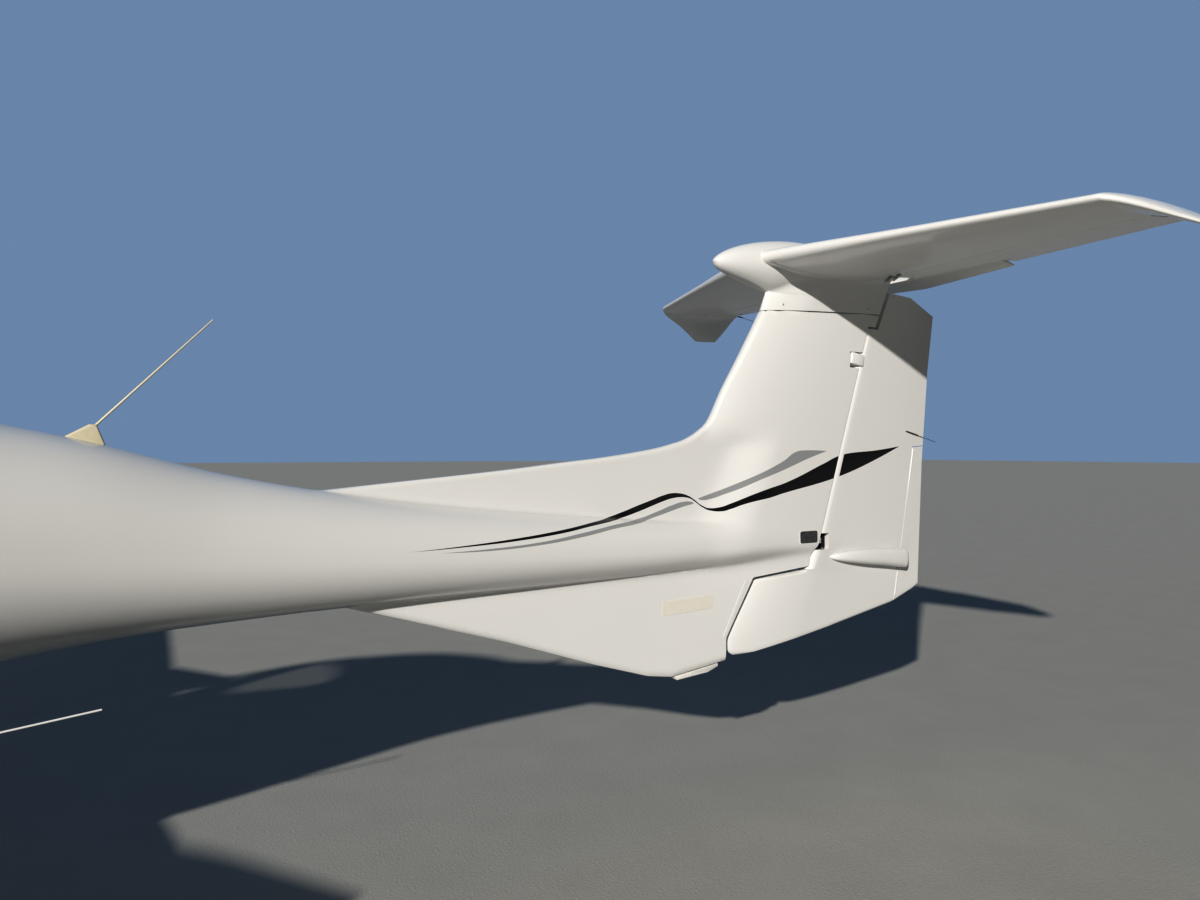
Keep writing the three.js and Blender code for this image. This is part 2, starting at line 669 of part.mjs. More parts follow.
// Slice of a flying surface square to Y, or leaning by the cant angle.
function surfaceSlice({ y, lead, trail, z, ratio, camber = 0, cant = 0 }, sign = 1) {
  const chord = trail - lead;
  const lean = (cant * Math.PI) / 180;
  const at = (share, side) => {
    const half = chord * Math.max(aerofoilHalf(share, ratio), 2 / chord);
    const middle = chord * camber * 4 * share * (1 - share);
    const off = middle + side * half;
    return point(lead + share * chord, sign * (y - off * Math.sin(lean)), z + off * Math.cos(lean));
  };
  const upper = WING_SHARES.map((share) => at(share, 1));
  const lower = WING_SHARES.slice(0, -1).reverse().map((share) => at(share, -1));
  return [...upper, ...lower];
}

const stabiliserWhole = loft([
  ...[...tipRows].reverse().map((row) => surfaceSlice(row, -1)),
  ...[...stabiliserRows].reverse().map((row) => surfaceSlice(row, -1)),
  ...stabiliserRows.slice(1).map((row) => surfaceSlice(row)),
  ...tipRows.map((row) => surfaceSlice(row)),
]);
const ELEVATOR_HALF = TAIL_SPAN_HALF - 8;
const elevatorHalf = (y) => {
  const rows = stabiliserRows.map((row) => {
    const chord = row.trail - row.lead;
    return [row.y, chord * aerofoilHalf((ELEVATOR_AXIS.x - row.lead) / chord, row.ratio)];
  });
  return between(rows, Math.abs(y));
};
const elevatorTrail = (y) => between(stabiliserRows.map((row) => [row.y, row.trail]), Math.abs(y));

function elevatorSlice(y) {
  const radius = elevatorHalf(y);
  const trail = elevatorTrail(y);
  const { x, z } = ELEVATOR_AXIS;
  const nose = [90, 120, 150, 180, 210, 240, 270].map((degrees) => {
    const angle = (degrees * Math.PI) / 180;
    return point(x + radius * Math.cos(angle), y, z + radius * Math.sin(angle));
  });
  return [...nose, point(x + 0.5 * (trail - x), y, z - 0.56 * radius), point(trail, y, z - 2.5),
    point(trail, y, z + 2.5), point(x + 0.5 * (trail - x), y, z + 0.56 * radius)];
}

const elevatorBlade = loft([-ELEVATOR_HALF, 0, ELEVATOR_HALF].map(elevatorSlice));
const ROOT_CUT_HALF = 112;
const ROOT_CUT_X = 4045;
const rootCut = box(3600, ROOT_CUT_X, -ROOT_CUT_HALF, ROOT_CUT_HALF, 2200, 2600);
const elevatorTabCut = (margin) => box(
  ELEVATOR_TAB_X - TAB_SLOT - 4 + margin, 4500,
  -ELEVATOR_TAB_HALF + margin, ELEVATOR_TAB_HALF - margin, 2200, 2600,
);
const elevatorPinEnd = TAIL_SPAN_HALF - GAP;
const elevatorAxisAt = (y) => point(ELEVATOR_AXIS.x, y, ELEVATOR_AXIS.z);
const elevator = [-1, 1].reduce(
  (whole, side) => whole.add(bar(elevatorAxisAt(side * 1300), elevatorAxisAt(side * elevatorPinEnd), 6)),
  elevatorBlade.subtract(rootCut).subtract(elevatorTabCut(0)),
);
piece('elevator', elevator, 'gelcoat');

// The elevator's tab is drawn level about its hinge and drooped by its rotation.
const tabPinEnd = ELEVATOR_TAB_HALF - GAP;
const tabPinAt = (y) => point(ELEVATOR_TAB_X, y, STABILISER_Z);
const tabLevel = elevatorBlade.intersect(elevatorTabCut(TAB_SLOT))
  .add(bar(tabPinAt(-tabPinEnd), tabPinAt(tabPinEnd), 4, 4, 10));
const tabGeometry = geometryOf(tabLevel);
tabGeometry.translate(-ELEVATOR_TAB_X, 0, -STABILISER_Z);
piece('elevator_tab', tabGeometry, 'gelcoat', [ELEVATOR_TAB_X, 0, STABILISER_Z],
  [0, (ELEVATOR_TAB_DROOP * Math.PI) / 180, 0]);

// The stabiliser stops ahead of the elevator's nose.
const slotFront = (y) => ELEVATOR_AXIS.x - elevatorHalf(y) - HINGE_SLOT;
const elevatorSlot = topPrism([
  [slotFront(ELEVATOR_HALF), -TAIL_SPAN_HALF], [slotFront(0), 0], [slotFront(ELEVATOR_HALF), TAIL_SPAN_HALF],
  [4500, TAIL_SPAN_HALF], [4500, -TAIL_SPAN_HALF],
], 2200, 2600);
const stabiliser = stabiliserWhole
  .add(bullet)
  .subtract(elevatorSlot)
  .intersect(box(2800, 4600, -WIDE - 300, WIDE + 300, BULLET_JOINT_Z - 40, 2600)
    .add(box(2800, 4600, TAIL_SPAN_HALF, WIDE + 300, 2100, 2600))
    .add(box(2800, 4600, -WIDE - 300, -TAIL_SPAN_HALF, 2100, 2600)))
  .subtract(fin.intersect(box(0, 5000, -WIDE, WIDE, 1150, BULLET_JOINT_Z + GAP))
    .add(box(2800, 4000, -300, 300, 2000, BULLET_JOINT_Z + GAP)));
piece('stabiliser', stabiliser, 'gelcoat');

// Tail skid under the ventral fin
const skidOutline = [
  [2690, 552 - GAP], [2700, 536], [2860, 552], [2915, 572], [2915, 585 - GAP], [2842, 575 - GAP],
];
piece('tail_skid', sidePrism(skidOutline, -20, 20), 'steel');

// Whip antenna on the spine
const ANTENNA = { x: 470, rise: 120 };
const spineZ = (x) => along(hullRows.map((row) => [NOSE_X + row.s, row.top]), x);
const antennaFoot = spineZ(ANTENNA.x);
const antennaBase = sidePrism([
  [ANTENNA.x - 70, antennaFoot - 30], [ANTENNA.x + 90, antennaFoot - 70],
  [ANTENNA.x + 62, antennaFoot + 44], [ANTENNA.x + 40, antennaFoot + 44],
], -11, 11);
const whip = bar(point(ANTENNA.x + 48, 0, antennaFoot + 30), point(ANTENNA.x + 400, 0, 1954), 4, 2.5, 8);
piece('whip_antenna', antennaBase.add(whip).subtract(hullClear), 'cream');

// Wing: sections of the starboard half, from the root out and up the winglet
const DIHEDRAL = Math.tan((5 * Math.PI) / 180);
const wingZ = (y) => 742 + DIHEDRAL * (y - 600);
const wingRows = [
  { y: 300, lead: -2085, trail: -560, z: wingZ(300), ratio: 0.145, camber: 0.02 },
  { y: ENGINE_Y, lead: -2060, trail: -600, z: wingZ(ENGINE_Y), ratio: 0.145, camber: 0.02 },
  { y: 4250, lead: -2015, trail: -905, z: wingZ(4250), ratio: 0.14, camber: 0.02 },
  { y: 6250, lead: -1978, trail: -1140, z: wingZ(6250), ratio: 0.13, camber: 0.018 },
  { y: 6480, lead: -1900, trail: -1150, z: wingZ(6480) + 22, ratio: 0.12, camber: 0.012, cant: 20 },
  { y: 6610, lead: -1765, trail: -1130, z: wingZ(6610) + 108, ratio: 0.11, cant: 52 },
  { y: 6685, lead: -1560, trail: -1085, z: wingZ(6685) + 240, ratio: 0.1, cant: 68 },
  { y: 6710, lead: -1370, trail: -1050, z: wingZ(6710) + 330, ratio: 0.09, cant: 74 },
];
const wingBlade = loft(wingRows.map((row) => surfaceSlice(row)));
const wingRow = (y) => {
  const value = (key) => between(wingRows.slice(0, 4).map((row) => [row.y, row[key]]), y);
  return { lead: value('lead'), trail: value('trail'), z: value('z'), ratio: value('ratio') };
};

// Nacelle sections: distance behind the nose, top, bottom, half width, power
const nacelleRows = [
  { s: 1030, top: 1338, bottom: 975, half: 182, power: 2 },
  { s: 1055, top: 1366, bottom: 915, half: 228, power: 2.1 },
  { s: 1130, top: 1402, bottom: 868, half: 282, power: 2.3 },
  { s: 1320, top: 1440, bottom: 822, half: 330, power: 2.5 },
  { s: 1780, top: 1456, bottom: 786, half: 342, power: 2.6 },
  { s: 2150, top: 1430, bottom: 778, half: 334, power: 2.5 },
  { s: 2550, top: 1350, bottom: 780, half: 292, power: 2.4 },
  { s: 3000, top: 1222, bottom: 792, half: 218, power: 2.2 },
  { s: 3450, top: 1074, bottom: 806, half: 136, power: 2 },
  { s: 3880, top: 930, bottom: 842, half: 34, power: 2 },
];
function nacelleSection(row, inset) {
  const middle = row.bottom + 0.5 * (row.top - row.bottom);
  return roundSection(NOSE_X + row.s, ENGINE_Y, row.top - inset, row.bottom + inset, row.half - inset,
    middle, row.power, 24);
}
const nacelleSolid = (inset) => loft(nacelleRows.map((row) => nacelleSection(row, inset)));
const nacelle = nacelleSolid(0);
const behindFirewall = box(FIREWALL_X, 2000, ENGINE_Y - 600, ENGINE_Y + 600, 0, 2000);

// Surfaces hinged at the wing's trailing edge, as shares of the chord at their hinge
// name, inner y, outer y, share of chord at the hinge, hinge level in half thicknesses
const trailingRows = [
  { name: 'flap_inner', inner: 700, outer: 1335, share: 0.74, level: -1 },
  { name: 'flap_outer', inner: 2030, outer: 4170, share: 0.74, level: -1 },
  { name: 'aileron', inner: 4186, outer: 6130, share: 0.74, level: 0 },
];

const PIN_RADIUS = 6;

function hingePlace(y, share) {
  const row = wingRow(y);
  const chord = row.trail - row.lead;
  const half = chord * aerofoilHalf(share, row.ratio);
  const middle = row.z + chord * 0.02 * 4 * share * (1 - share);
  return { x: row.lead + share * chord, z: middle, half, trail: row.trail, tail: row.z };
}

// Direction of a hinge line, from its inner end to its outer end
function hingeLine({ inner, outer, share }) {
  const [a, b] = [inner, outer].map((y) => {
    const { x, z } = hingePlace(y, share);
    return point(x, y, z);
  });
  return b.sub(a).normalize();
}

// Moves a ring's points along Y into the plane square to the hinge line.
function squared(ring, centre, line) {
  return ring.map((p) => {
    const shift = (line.x * (p.x - centre.x) + line.z * (p.z - centre.z)) / line.y;
    return point(p.x, centre.y - shift, p.z);
  });
}

function trailingSlice(y, row) {
  const { x, z, half, trail, tail } = hingePlace(y, row.share);
  const nose = [90, 120, 150, 180, 210, 240, 270].map((degrees) => {
    const angle = (degrees * Math.PI) / 180;
    return point(x + half * Math.cos(angle), y, z + half * Math.sin(angle));
  });
  const middleX = x + 0.5 * (trail - x);
  const middleZ = z + 0.5 * (tail - z);
  const ring = [...nose, point(middleX, y, middleZ - 0.5 * half), point(trail, y, tail - 2),
    point(trail, y, tail + 2), point(middleX, y, middleZ + 0.55 * half)];
  return squared(ring, point(x, y, z), hingeLine(row));
}

// The pin on the hinge's axis reaches the wing at both ends.
function trailingPin(row) {
  const line = hingeLine(row);
  const [start, end] = [row.inner, row.outer].map((y) => {
    const { x, z, half } = hingePlace(y, row.share);
    return squared([point(x, y, z + row.level * (half - PIN_RADIUS))], point(x, y, z), line)[0];
  });
  const reach = SEAM * line.y - GAP;
  return bar(start.addScaledVector(line, -reach), end.addScaledVector(line, reach), PIN_RADIUS);
}

function trailingSlot(row) {
  const rings = [row.inner - SEAM, row.outer + SEAM].map((y) => {
    const { x, z, half } = hingePlace(y, row.share);
    const front = x - half - HINGE_SLOT;
    const ring = [point(front, y, z - 300), point(front, y, z + 300),
      point(front + 900, y, z + 300), point(front + 900, y, z - 300)];
    return squared(ring, point(x, y, z), hingeLine(row));
  });
  return loft(rings);
}

const MAIN_WELL = {
  x0: MAIN_WHEEL.x - 210, x1: MAIN_WHEEL.x + 215, y0: 690, y1: MAIN_WHEEL.y + 45, depth: 125,
};
const wellRoof = (y) => wingZ(y) + 38;
const mainWell = frontPrism([
  [MAIN_WELL.y0, wellRoof(MAIN_WELL.y0) - MAIN_WELL.depth - 200], [MAIN_WELL.y1, 400],
  [MAIN_WELL.y1, wellRoof(MAIN_WELL.y1)], [MAIN_WELL.y0, wellRoof(MAIN_WELL.y0)],
], MAIN_WELL.x0, MAIN_WELL.x1);

let wing = wingBlade.add(nacelle.intersect(behindFirewall)).subtract(hullClear).subtract(mainWell);
for (const row of trailingRows) {
  wing = wing.subtract(trailingSlot(row));
  const surface = loft([trailingSlice(row.inner, row), trailingSlice(row.outer, row)]);
  pair(row.name, surface.add(trailingPin(row)), 'gelcoat');
}
pair('wing', wing, 'gelcoat');

// Cowl: a hollow shell ahead of the firewall with a round front for the shaft and two inlets
const cowlFront = NOSE_X + 1032;
const cowlSpace = box(cowlFront, FIREWALL_X - GAP, ENGINE_Y - 600, ENGINE_Y + 600, 0, 2000);
const INLETS = [
  { y: ENGINE_Y - 150, z: 1250, radius: 48 },
  { y: ENGINE_Y + 150, z: 1250, radius: 48 },
  { y: ENGINE_Y, z: 955, radius: 62 },
];
const SHAFT_HOLE = 120;
const shaftAt = (x) => point(x, ENGINE_Y, SHAFT_Z);
const cowlInside = nacelleSolid(COWL_WALL).intersect(
  box(cowlFront + COWL_WALL, FIREWALL_X + 10, ENGINE_Y - 600, ENGINE_Y + 600, 0, 2000),
);
let cowl = nacelle.intersect(cowlSpace).subtract(cowlInside).subtract(
  bar(shaftAt(NOSE_X + 900), shaftAt(NOSE_X + 1100), SHAFT_HOLE, SHAFT_HOLE, 24),
);
for (const { y, z, radius } of INLETS) {
  cowl = cowl.subtract(bar(point(NOSE_X + 900, y, z), point(NOSE_X + 1200, y, z), radius, radius, 20));
}
const outlet = box(NOSE_X + 1640, FIREWALL_X + 50, ENGINE_Y - 150, ENGINE_Y + 150, 600, 860);
cowl = cowl.subtract(outlet);
pair('cowl', cowl, 'gelcoat');

// Engine: one plain block on the firewall, with the gearbox and shaft ahead of it
const engine = box(NOSE_X + 1320, FIREWALL_X - GAP, ENGINE_Y - 215, ENGINE_Y + 215, 930, 1345)
  .add(bar(shaftAt(NOSE_X + 1060), shaftAt(NOSE_X + 1330), 95, 140, 20))
  .add(bar(shaftAt(PROP_X + 46 + GAP), shaftAt(NOSE_X + 1060), 42, 42, 16));
pair('engine', engine, 'castIron');

// Propeller: hub, back plate and blades about the X axis, drawn at the origin
const BLADES = 3;
const BLADE_POINTS = 8;
// radius, chord, thickness, pitch in degrees from the plane of the disc
const bladeRows = [
  { r: 45, chord: 72, thick: 66, pitch: 45 },
  { r: 190, chord: 78, thick: 56, pitch: 42 },
  { r: 300, chord: 124, thick: 30, pitch: 34 },
  { r: 480, chord: 138, thick: 19, pitch: 26 },
  { r: 700, chord: 118, thick: 13, pitch: 20 },
  { r: 870, chord: 82, thick: 8, pitch: 16 },
  { r: PROP_RADIUS, chord: 30, thick: 5, pitch: 14 },
];
function bladeSection({ r, chord, thick, pitch }, turn) {
  const lean = (pitch * Math.PI) / 180;
  return Array.from({ length: BLADE_POINTS }, (_, k) => {
    const angle = (2 * Math.PI * k) / BLADE_POINTS;
    const u = 0.5 * chord * Math.cos(angle);
    const v = 0.5 * thick * Math.sin(angle);
    const across = u * Math.cos(lean) - v * Math.sin(lean);
    const fore = u * Math.sin(lean) + v * Math.cos(lean);
    return point(fore, across, r).applyAxisAngle(point(1, 0, 0), turn);
  });
}
const bladeTurn = (k) => (2 * Math.PI * k) / BLADES;
let propeller = bar(point(-62, 0, 0), point(40, 0, 0), 72, 72, 18)
  .add(bar(point(38, 0, 0), point(46, 0, 0), SPINNER_RADIUS - 6, SPINNER_RADIUS - 6, 28));
for (let k = 0; k < BLADES; k += 1) {
  propeller = propeller.add(loft(bladeRows.map((row) => bladeSection(row, bladeTurn(k)))));
}

// Spinner: an open shell turned about the shaft, with a hole for each blade
const SPINNER_WALL = 5;
const spinnerBack = 38 - GAP;
const SPINNER_STEPS = 4;
const spinnerProfile = Array.from({ length: SPINNER_STEPS + 1 }, (_, k) => {
  const t = k / SPINNER_STEPS;
  const radius = SPINNER_RADIUS * Math.sqrt(1 - t ** 1.9);
  return [Math.max(radius, 0), spinnerBack - t * SPINNER_LENGTH];
});
const spinnerInner = spinnerProfile
  .map(([r, x]) => [Math.max(r - SPINNER_WALL, 0), x + SPINNER_WALL])
  .filter(([r, x]) => r > 0 && x < spinnerBack);
const spinnerRing = turnedAboutY([
  ...spinnerProfile,
  [0, spinnerProfile.at(-1)[1] + SPINNER_WALL * 2],
  ...spinnerInner.reverse(),
  [SPINNER_RADIUS - SPINNER_WALL, spinnerBack],
  spinnerProfile[0],
], 20);
spinnerRing.rotateZ(-Math.PI / 2);
let spinner = solid(spinnerRing);
if (spinner.volume() < 0) {
  spinnerRing.index.array.reverse();
  spinner = solid(spinnerRing);
}
for (let k = 0; k < BLADES; k += 1) {
  const outward = point(0, 0, 1).applyAxisAngle(point(1, 0, 0), bladeTurn(k));
  const [inner, outer] = [60, 260].map((reach) => outward.clone().multiplyScalar(reach));
  spinner = spinner.subtract(bar(inner, outer, 47, 47, 12));
}
for (const side of sides) {
  const place = [PROP_X, side.sign * ENGINE_Y, SHAFT_Z];
  piece(`propeller_${side.name}`, geometryOf(propeller), 'blade', place);
  piece(`spinner_${side.name}`, geometryOf(spinner), 'gelcoat', place);
}

// Wheels: tyre and rim turned about the Y axis
const WHEEL_SEGMENTS = 24;
function tyreShape({ radius, width }, rimRadius) {
  const half = width / 2;
  return turnedAboutY([
    [rimRadius, -0.36 * width],
    [rimRadius + 14, -0.44 * width],
    [radius - 52, -half],
    [radius - 18, -0.42 * width],
    [radius, -0.22 * width],
    [radius, 0.22 * width],
    [radius - 18, 0.42 * width],
    [radius - 52, half],
    [rimRadius + 14, 0.44 * width],
    [rimRadius, 0.36 * width],
    [rimRadius, -0.36 * width],
  ], WHEEL_SEGMENTS);
}
function rimShape({ width }, rimRadius, boreRadius) {
  return turnedAboutY([
    [boreRadius, -0.3 * width],
    [rimRadius * 0.55, -0.3 * width],
    [rimRadius - 16, -0.14 * width],
    [rimRadius - 10, -0.34 * width],
    [rimRadius - GAP, -0.34 * width],
    [rimRadius - GAP, 0.34 * width],
    [rimRadius - 10, 0.34 * width],
    [rimRadius - 16, 0.14 * width],
    [rimRadius * 0.55, 0.3 * width],
    [boreRadius, 0.3 * width],
    [boreRadius, -0.3 * width],
  ], WHEEL_SEGMENTS);
}
const AXLE_RADIUS = 17;
const MAIN_RIM = 92;
const NOSE_RIM = 76;

function outwardFacing(geometry) {
  const clean = bare(geometry);
  const index = Array.from(clean.index.array);
  if (signedVolume(clean.attributes.position.array, index) < 0) {
    index.reverse();
  }
  clean.setIndex(index);
  clean.computeVertexNormals();
  return clean;
}
for (const side of sides) {
  const place = [MAIN_WHEEL.x, side.sign * MAIN_WHEEL.y, MAIN_WHEEL.radius];
  piece(`main_tyre_${side.name}`, outwardFacing(tyreShape(MAIN_WHEEL, MAIN_RIM)), 'rubber', place);
  piece(`main_wheel_${side.name}`, outwardFacing(rimShape(MAIN_WHEEL, MAIN_RIM, AXLE_RADIUS + 0.5)), 'alloy', place);
}
const nosePlace = [NOSE_WHEEL.x, 0, NOSE_WHEEL.radius];
piece('nose_tyre', outwardFacing(tyreShape(NOSE_WHEEL, NOSE_RIM)), 'rubber', nosePlace);
piece('nose_wheel', outwardFacing(rimShape(NOSE_WHEEL, NOSE_RIM, AXLE_RADIUS + 0.5)), 'alloy', nosePlace);

// Main leg: a strut from the well's roof to the knuckle, and a trailing arm back to the axle
const LEG_Y = MAIN_WHEEL.y - 128;
const KNUCKLE_Z = 392;
const legTop = wellRoof(LEG_Y) - GAP;
const leg = bar(point(MAIN_LEG_X, LEG_Y, KNUCKLE_Z), point(MAIN_LEG_X, LEG_Y, legTop), 34, 40, 16)
  .add(box(MAIN_LEG_X - 60, MAIN_LEG_X + 60, LEG_Y - 55, LEG_Y + 55, legTop - 36, legTop))
  .intersect(frontPrism([
    [LEG_Y - 200, 0], [LEG_Y + 200, 0],
    [LEG_Y + 200, wellRoof(LEG_Y + 200) - GAP], [LEG_Y - 200, wellRoof(LEG_Y - 200) - GAP],
  ], MAIN_LEG_X - 200, MAIN_LEG_X + 200));
const KNUCKLE_HALF = 30;
const fork = leg.add(box(MAIN_LEG_X - 42, MAIN_LEG_X + 42, LEG_Y - KNUCKLE_HALF, LEG_Y + KNUCKLE_HALF,
  KNUCKLE_Z - 10, KNUCKLE_Z + 60));
pair('main_leg', fork, 'steel');

const armTop = KNUCKLE_Z - 10 - GAP;
const armOutline = [
  [MAIN_LEG_X - 44, armTop], [MAIN_LEG_X + 44, armTop], [MAIN_WHEEL.x + 40, MAIN_WHEEL.radius + 38],
  [MAIN_WHEEL.x + 40, MAIN_WHEEL.radius - 36], [MAIN_WHEEL.x - 30, MAIN_WHEEL.radius - 36],
  [MAIN_LEG_X - 44, armTop - 90],
];
const axleAt = (y) => point(MAIN_WHEEL.x, y, MAIN_WHEEL.radius);
const axleEnd = MAIN_WHEEL.y + 0.3 * MAIN_WHEEL.width + 8;
const arm = sidePrism(armOutline, LEG_Y - 22, LEG_Y + 22)
  .add(bar(axleAt(LEG_Y), axleAt(axleEnd), AXLE_RADIUS, AXLE_RADIUS, 24));
pair('main_arm', arm, 'steel');

// Leg door: a plate outboard of the leg, ahead of the tyre
const doorPlateY = LEG_Y + 42;
const mainDoor = sidePrism([
  [MAIN_LEG_X - 175, 330], [MAIN_LEG_X - 40, 300], [MAIN_LEG_X - 62, 470],
  [MAIN_LEG_X + 120, 520], [MAIN_LEG_X + 120, 690], [MAIN_LEG_X - 175, 690],
], doorPlateY, doorPlateY + 10);
const doorStub = bar(point(MAIN_LEG_X, LEG_Y + 20, 560), point(MAIN_LEG_X, doorPlateY + 4, 560), 20)
  .subtract(bar(point(MAIN_LEG_X, LEG_Y, KNUCKLE_Z), point(MAIN_LEG_X, LEG_Y, legTop), 34 + GAP, 40 + GAP, 16));
pair('main_door', mainDoor.add(doorStub), 'gelcoat');

// Nose leg: a strut on the bulkhead, a fork that steers and holds the wheel
const STEER_X = NOSE_WHEEL.x - 20;
const FORK_TOP = 470;
const noseLeg = bar(point(STEER_X, 0, FORK_TOP + GAP), point(STEER_X, 0, 900), 32, 36, 16)
  .add(box(STEER_X - 30, NOSE_X + 1290 - GAP, -40, 40, 840, 900))
  .add(bar(point(STEER_X + 10, 0, 640), point(NOSE_X + 1275, 0, 860), 16, 16, 10));
piece('nose_leg', noseLeg, 'steel');
const forkHalf = NOSE_WHEEL.width / 2 + 14;
const cheekOutline = [
  [STEER_X - 30, FORK_TOP - 10], [STEER_X + 36, FORK_TOP - 10],
  [NOSE_WHEEL.x + 28, NOSE_WHEEL.radius - 28], [NOSE_WHEEL.x - 28, NOSE_WHEEL.radius - 28],
];
const noseAxleAt = (y) => point(NOSE_WHEEL.x, y, NOSE_WHEEL.radius);
const noseFork = box(STEER_X - 40, STEER_X + 40, -forkHalf - 14, forkHalf + 14, FORK_TOP - 40, FORK_TOP)
  .add(sidePrism(cheekOutline, forkHalf, forkHalf + 14))
  .add(sidePrism(cheekOutline, -forkHalf - 14, -forkHalf))
  .add(bar(noseAxleAt(-forkHalf - 6), noseAxleAt(forkHalf + 6), AXLE_RADIUS, AXLE_RADIUS, 24));
piece('nose_fork', noseFork, 'steel');

// Nose-bay doors hang beside the leg
const noseDoor = sidePrism([
  [NOSE_X + 885, 400], [NOSE_X + 1265, 400], [NOSE_X + 1265, 640], [NOSE_X + 885, 640],
], 118, 126).subtract(hullClear);
pair('nose_door', noseDoor, 'gelcoat');

// Cabin: floor, seats, panel and sticks
const FLOOR_TOP = 700;
const floor = cabinSpace.intersect(
  box(NOSE_X + 1310 + GAP, NOSE_X + 3900, -WIDE, WIDE, FLOOR_TOP - 34, FLOOR_TOP),
);
piece('cabin_floor', floor, 'carpet');

const seatOutline = (x) => [
  [x, FLOOR_TOP + GAP], [x + 330, FLOOR_TOP + GAP], [x + 480, FLOOR_TOP + 300], [x + 640, FLOOR_TOP + 860],
  [x + 560, FLOOR_TOP + 880], [x + 375, FLOOR_TOP + 340], [x + 20, FLOOR_TOP + 290], [x - 30, FLOOR_TOP + 230],
];
const FRONT_SEAT_X = NOSE_X + 2010;
const frontSeat = sidePrism(seatOutline(FRONT_SEAT_X), 55, 500).intersect(cabinSpace);
pair('seat_front', frontSeat, 'leather');
const REAR_SEAT_X = NOSE_X + 2950;
const rearSeat = sidePrism(seatOutline(REAR_SEAT_X), -470, 470).intersect(cabinSpace);
piece('seat_rear', rearSeat, 'leather');

const panelOutline = [
  station(1480, 1010), station(1500, 1010), station(1500, 830), station(1640, 760), station(1690, 800),
  station(1745, 1180), station(1760, 1225), station(1500, 1262), station(1440, 1230),
];
const instrumentPanel = sidePrism(panelOutline, -430, 430)
  .subtract(box(NOSE_X, NOSE_X + 1900, -WIDE, -95, 0, 1000))
  .subtract(box(NOSE_X, NOSE_X + 1900, 95, WIDE, 0, 1000))
  .add(box(NOSE_X + 1560, NOSE_X + 1690, -90, 90, FLOOR_TOP + GAP, 840))
  .intersect(cabinSpace);
piece('instrument_panel', instrumentPanel, 'black');

const aboveFloor = box(NOSE_X, 0, -WIDE, WIDE, FLOOR_TOP + GAP, 2000);
const stickAt = (back, rise) => point(FRONT_SEAT_X - back, 278, FLOOR_TOP + rise);
const stick = bar(stickAt(58, -10), stickAt(120, 330), 11, 11, 10)
  .add(bar(stickAt(115, 310), stickAt(135, 430), 19, 17, 10))
  .intersect(aboveFloor);
pair('stick', stick, 'black');

export default group;
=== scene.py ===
"""Finished surfaces of a twin-engine light aircraft, built around its packed construction model.

Metres. Nose towards -X, starboard wing towards +Y, up is +Z.
"""

import json
from math import acos, atan2, copysign, cos, exp, pi, radians, sin, sqrt, tan

import bmesh
import bpy
import numpy as np
from bpy.props import FloatProperty, FloatVectorProperty, PointerProperty
from mathutils import Matrix, Vector

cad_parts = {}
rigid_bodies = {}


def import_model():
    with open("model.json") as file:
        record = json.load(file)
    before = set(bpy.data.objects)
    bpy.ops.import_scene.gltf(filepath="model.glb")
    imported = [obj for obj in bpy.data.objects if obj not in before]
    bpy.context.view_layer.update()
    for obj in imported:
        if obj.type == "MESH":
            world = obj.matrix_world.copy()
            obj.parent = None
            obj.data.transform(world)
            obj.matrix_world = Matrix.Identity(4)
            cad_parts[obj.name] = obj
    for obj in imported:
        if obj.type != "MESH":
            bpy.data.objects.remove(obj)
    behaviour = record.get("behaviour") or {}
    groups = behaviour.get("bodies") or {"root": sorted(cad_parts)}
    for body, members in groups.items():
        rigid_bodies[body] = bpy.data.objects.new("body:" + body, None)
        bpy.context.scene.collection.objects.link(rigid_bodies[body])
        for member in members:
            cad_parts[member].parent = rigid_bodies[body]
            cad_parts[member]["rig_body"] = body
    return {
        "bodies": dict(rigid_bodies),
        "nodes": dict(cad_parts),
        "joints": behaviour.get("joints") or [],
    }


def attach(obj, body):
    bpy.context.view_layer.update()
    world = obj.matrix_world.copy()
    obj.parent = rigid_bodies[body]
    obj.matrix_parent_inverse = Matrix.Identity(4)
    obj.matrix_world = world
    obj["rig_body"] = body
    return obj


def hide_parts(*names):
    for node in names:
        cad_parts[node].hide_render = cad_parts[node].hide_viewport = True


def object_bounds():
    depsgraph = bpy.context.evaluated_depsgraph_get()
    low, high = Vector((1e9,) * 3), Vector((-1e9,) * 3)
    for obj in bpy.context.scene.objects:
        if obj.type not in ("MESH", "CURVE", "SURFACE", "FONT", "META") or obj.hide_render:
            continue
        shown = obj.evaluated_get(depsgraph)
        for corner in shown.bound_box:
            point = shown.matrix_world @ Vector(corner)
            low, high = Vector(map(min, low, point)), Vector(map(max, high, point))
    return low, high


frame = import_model()
cad_box = [list(corner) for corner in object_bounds()]
joints = {joint["name"]: joint for joint in frame["joints"]}

bl_info = {
    "name": "Twin-engine light aircraft",
    "version": (1, 0, 0),
    "blender": (4, 5, 0),
    "location": "View3D > Sidebar > Aircraft",
    "description": "Builds the finished surfaces of the aircraft around its construction model",
    "category": "Object",
}

NOSE_X = cad_box[0][0]
MERGE = 1e-5
SIDES = {"left": -1, "right": 1}
SMOOTH_ANGLE = 32

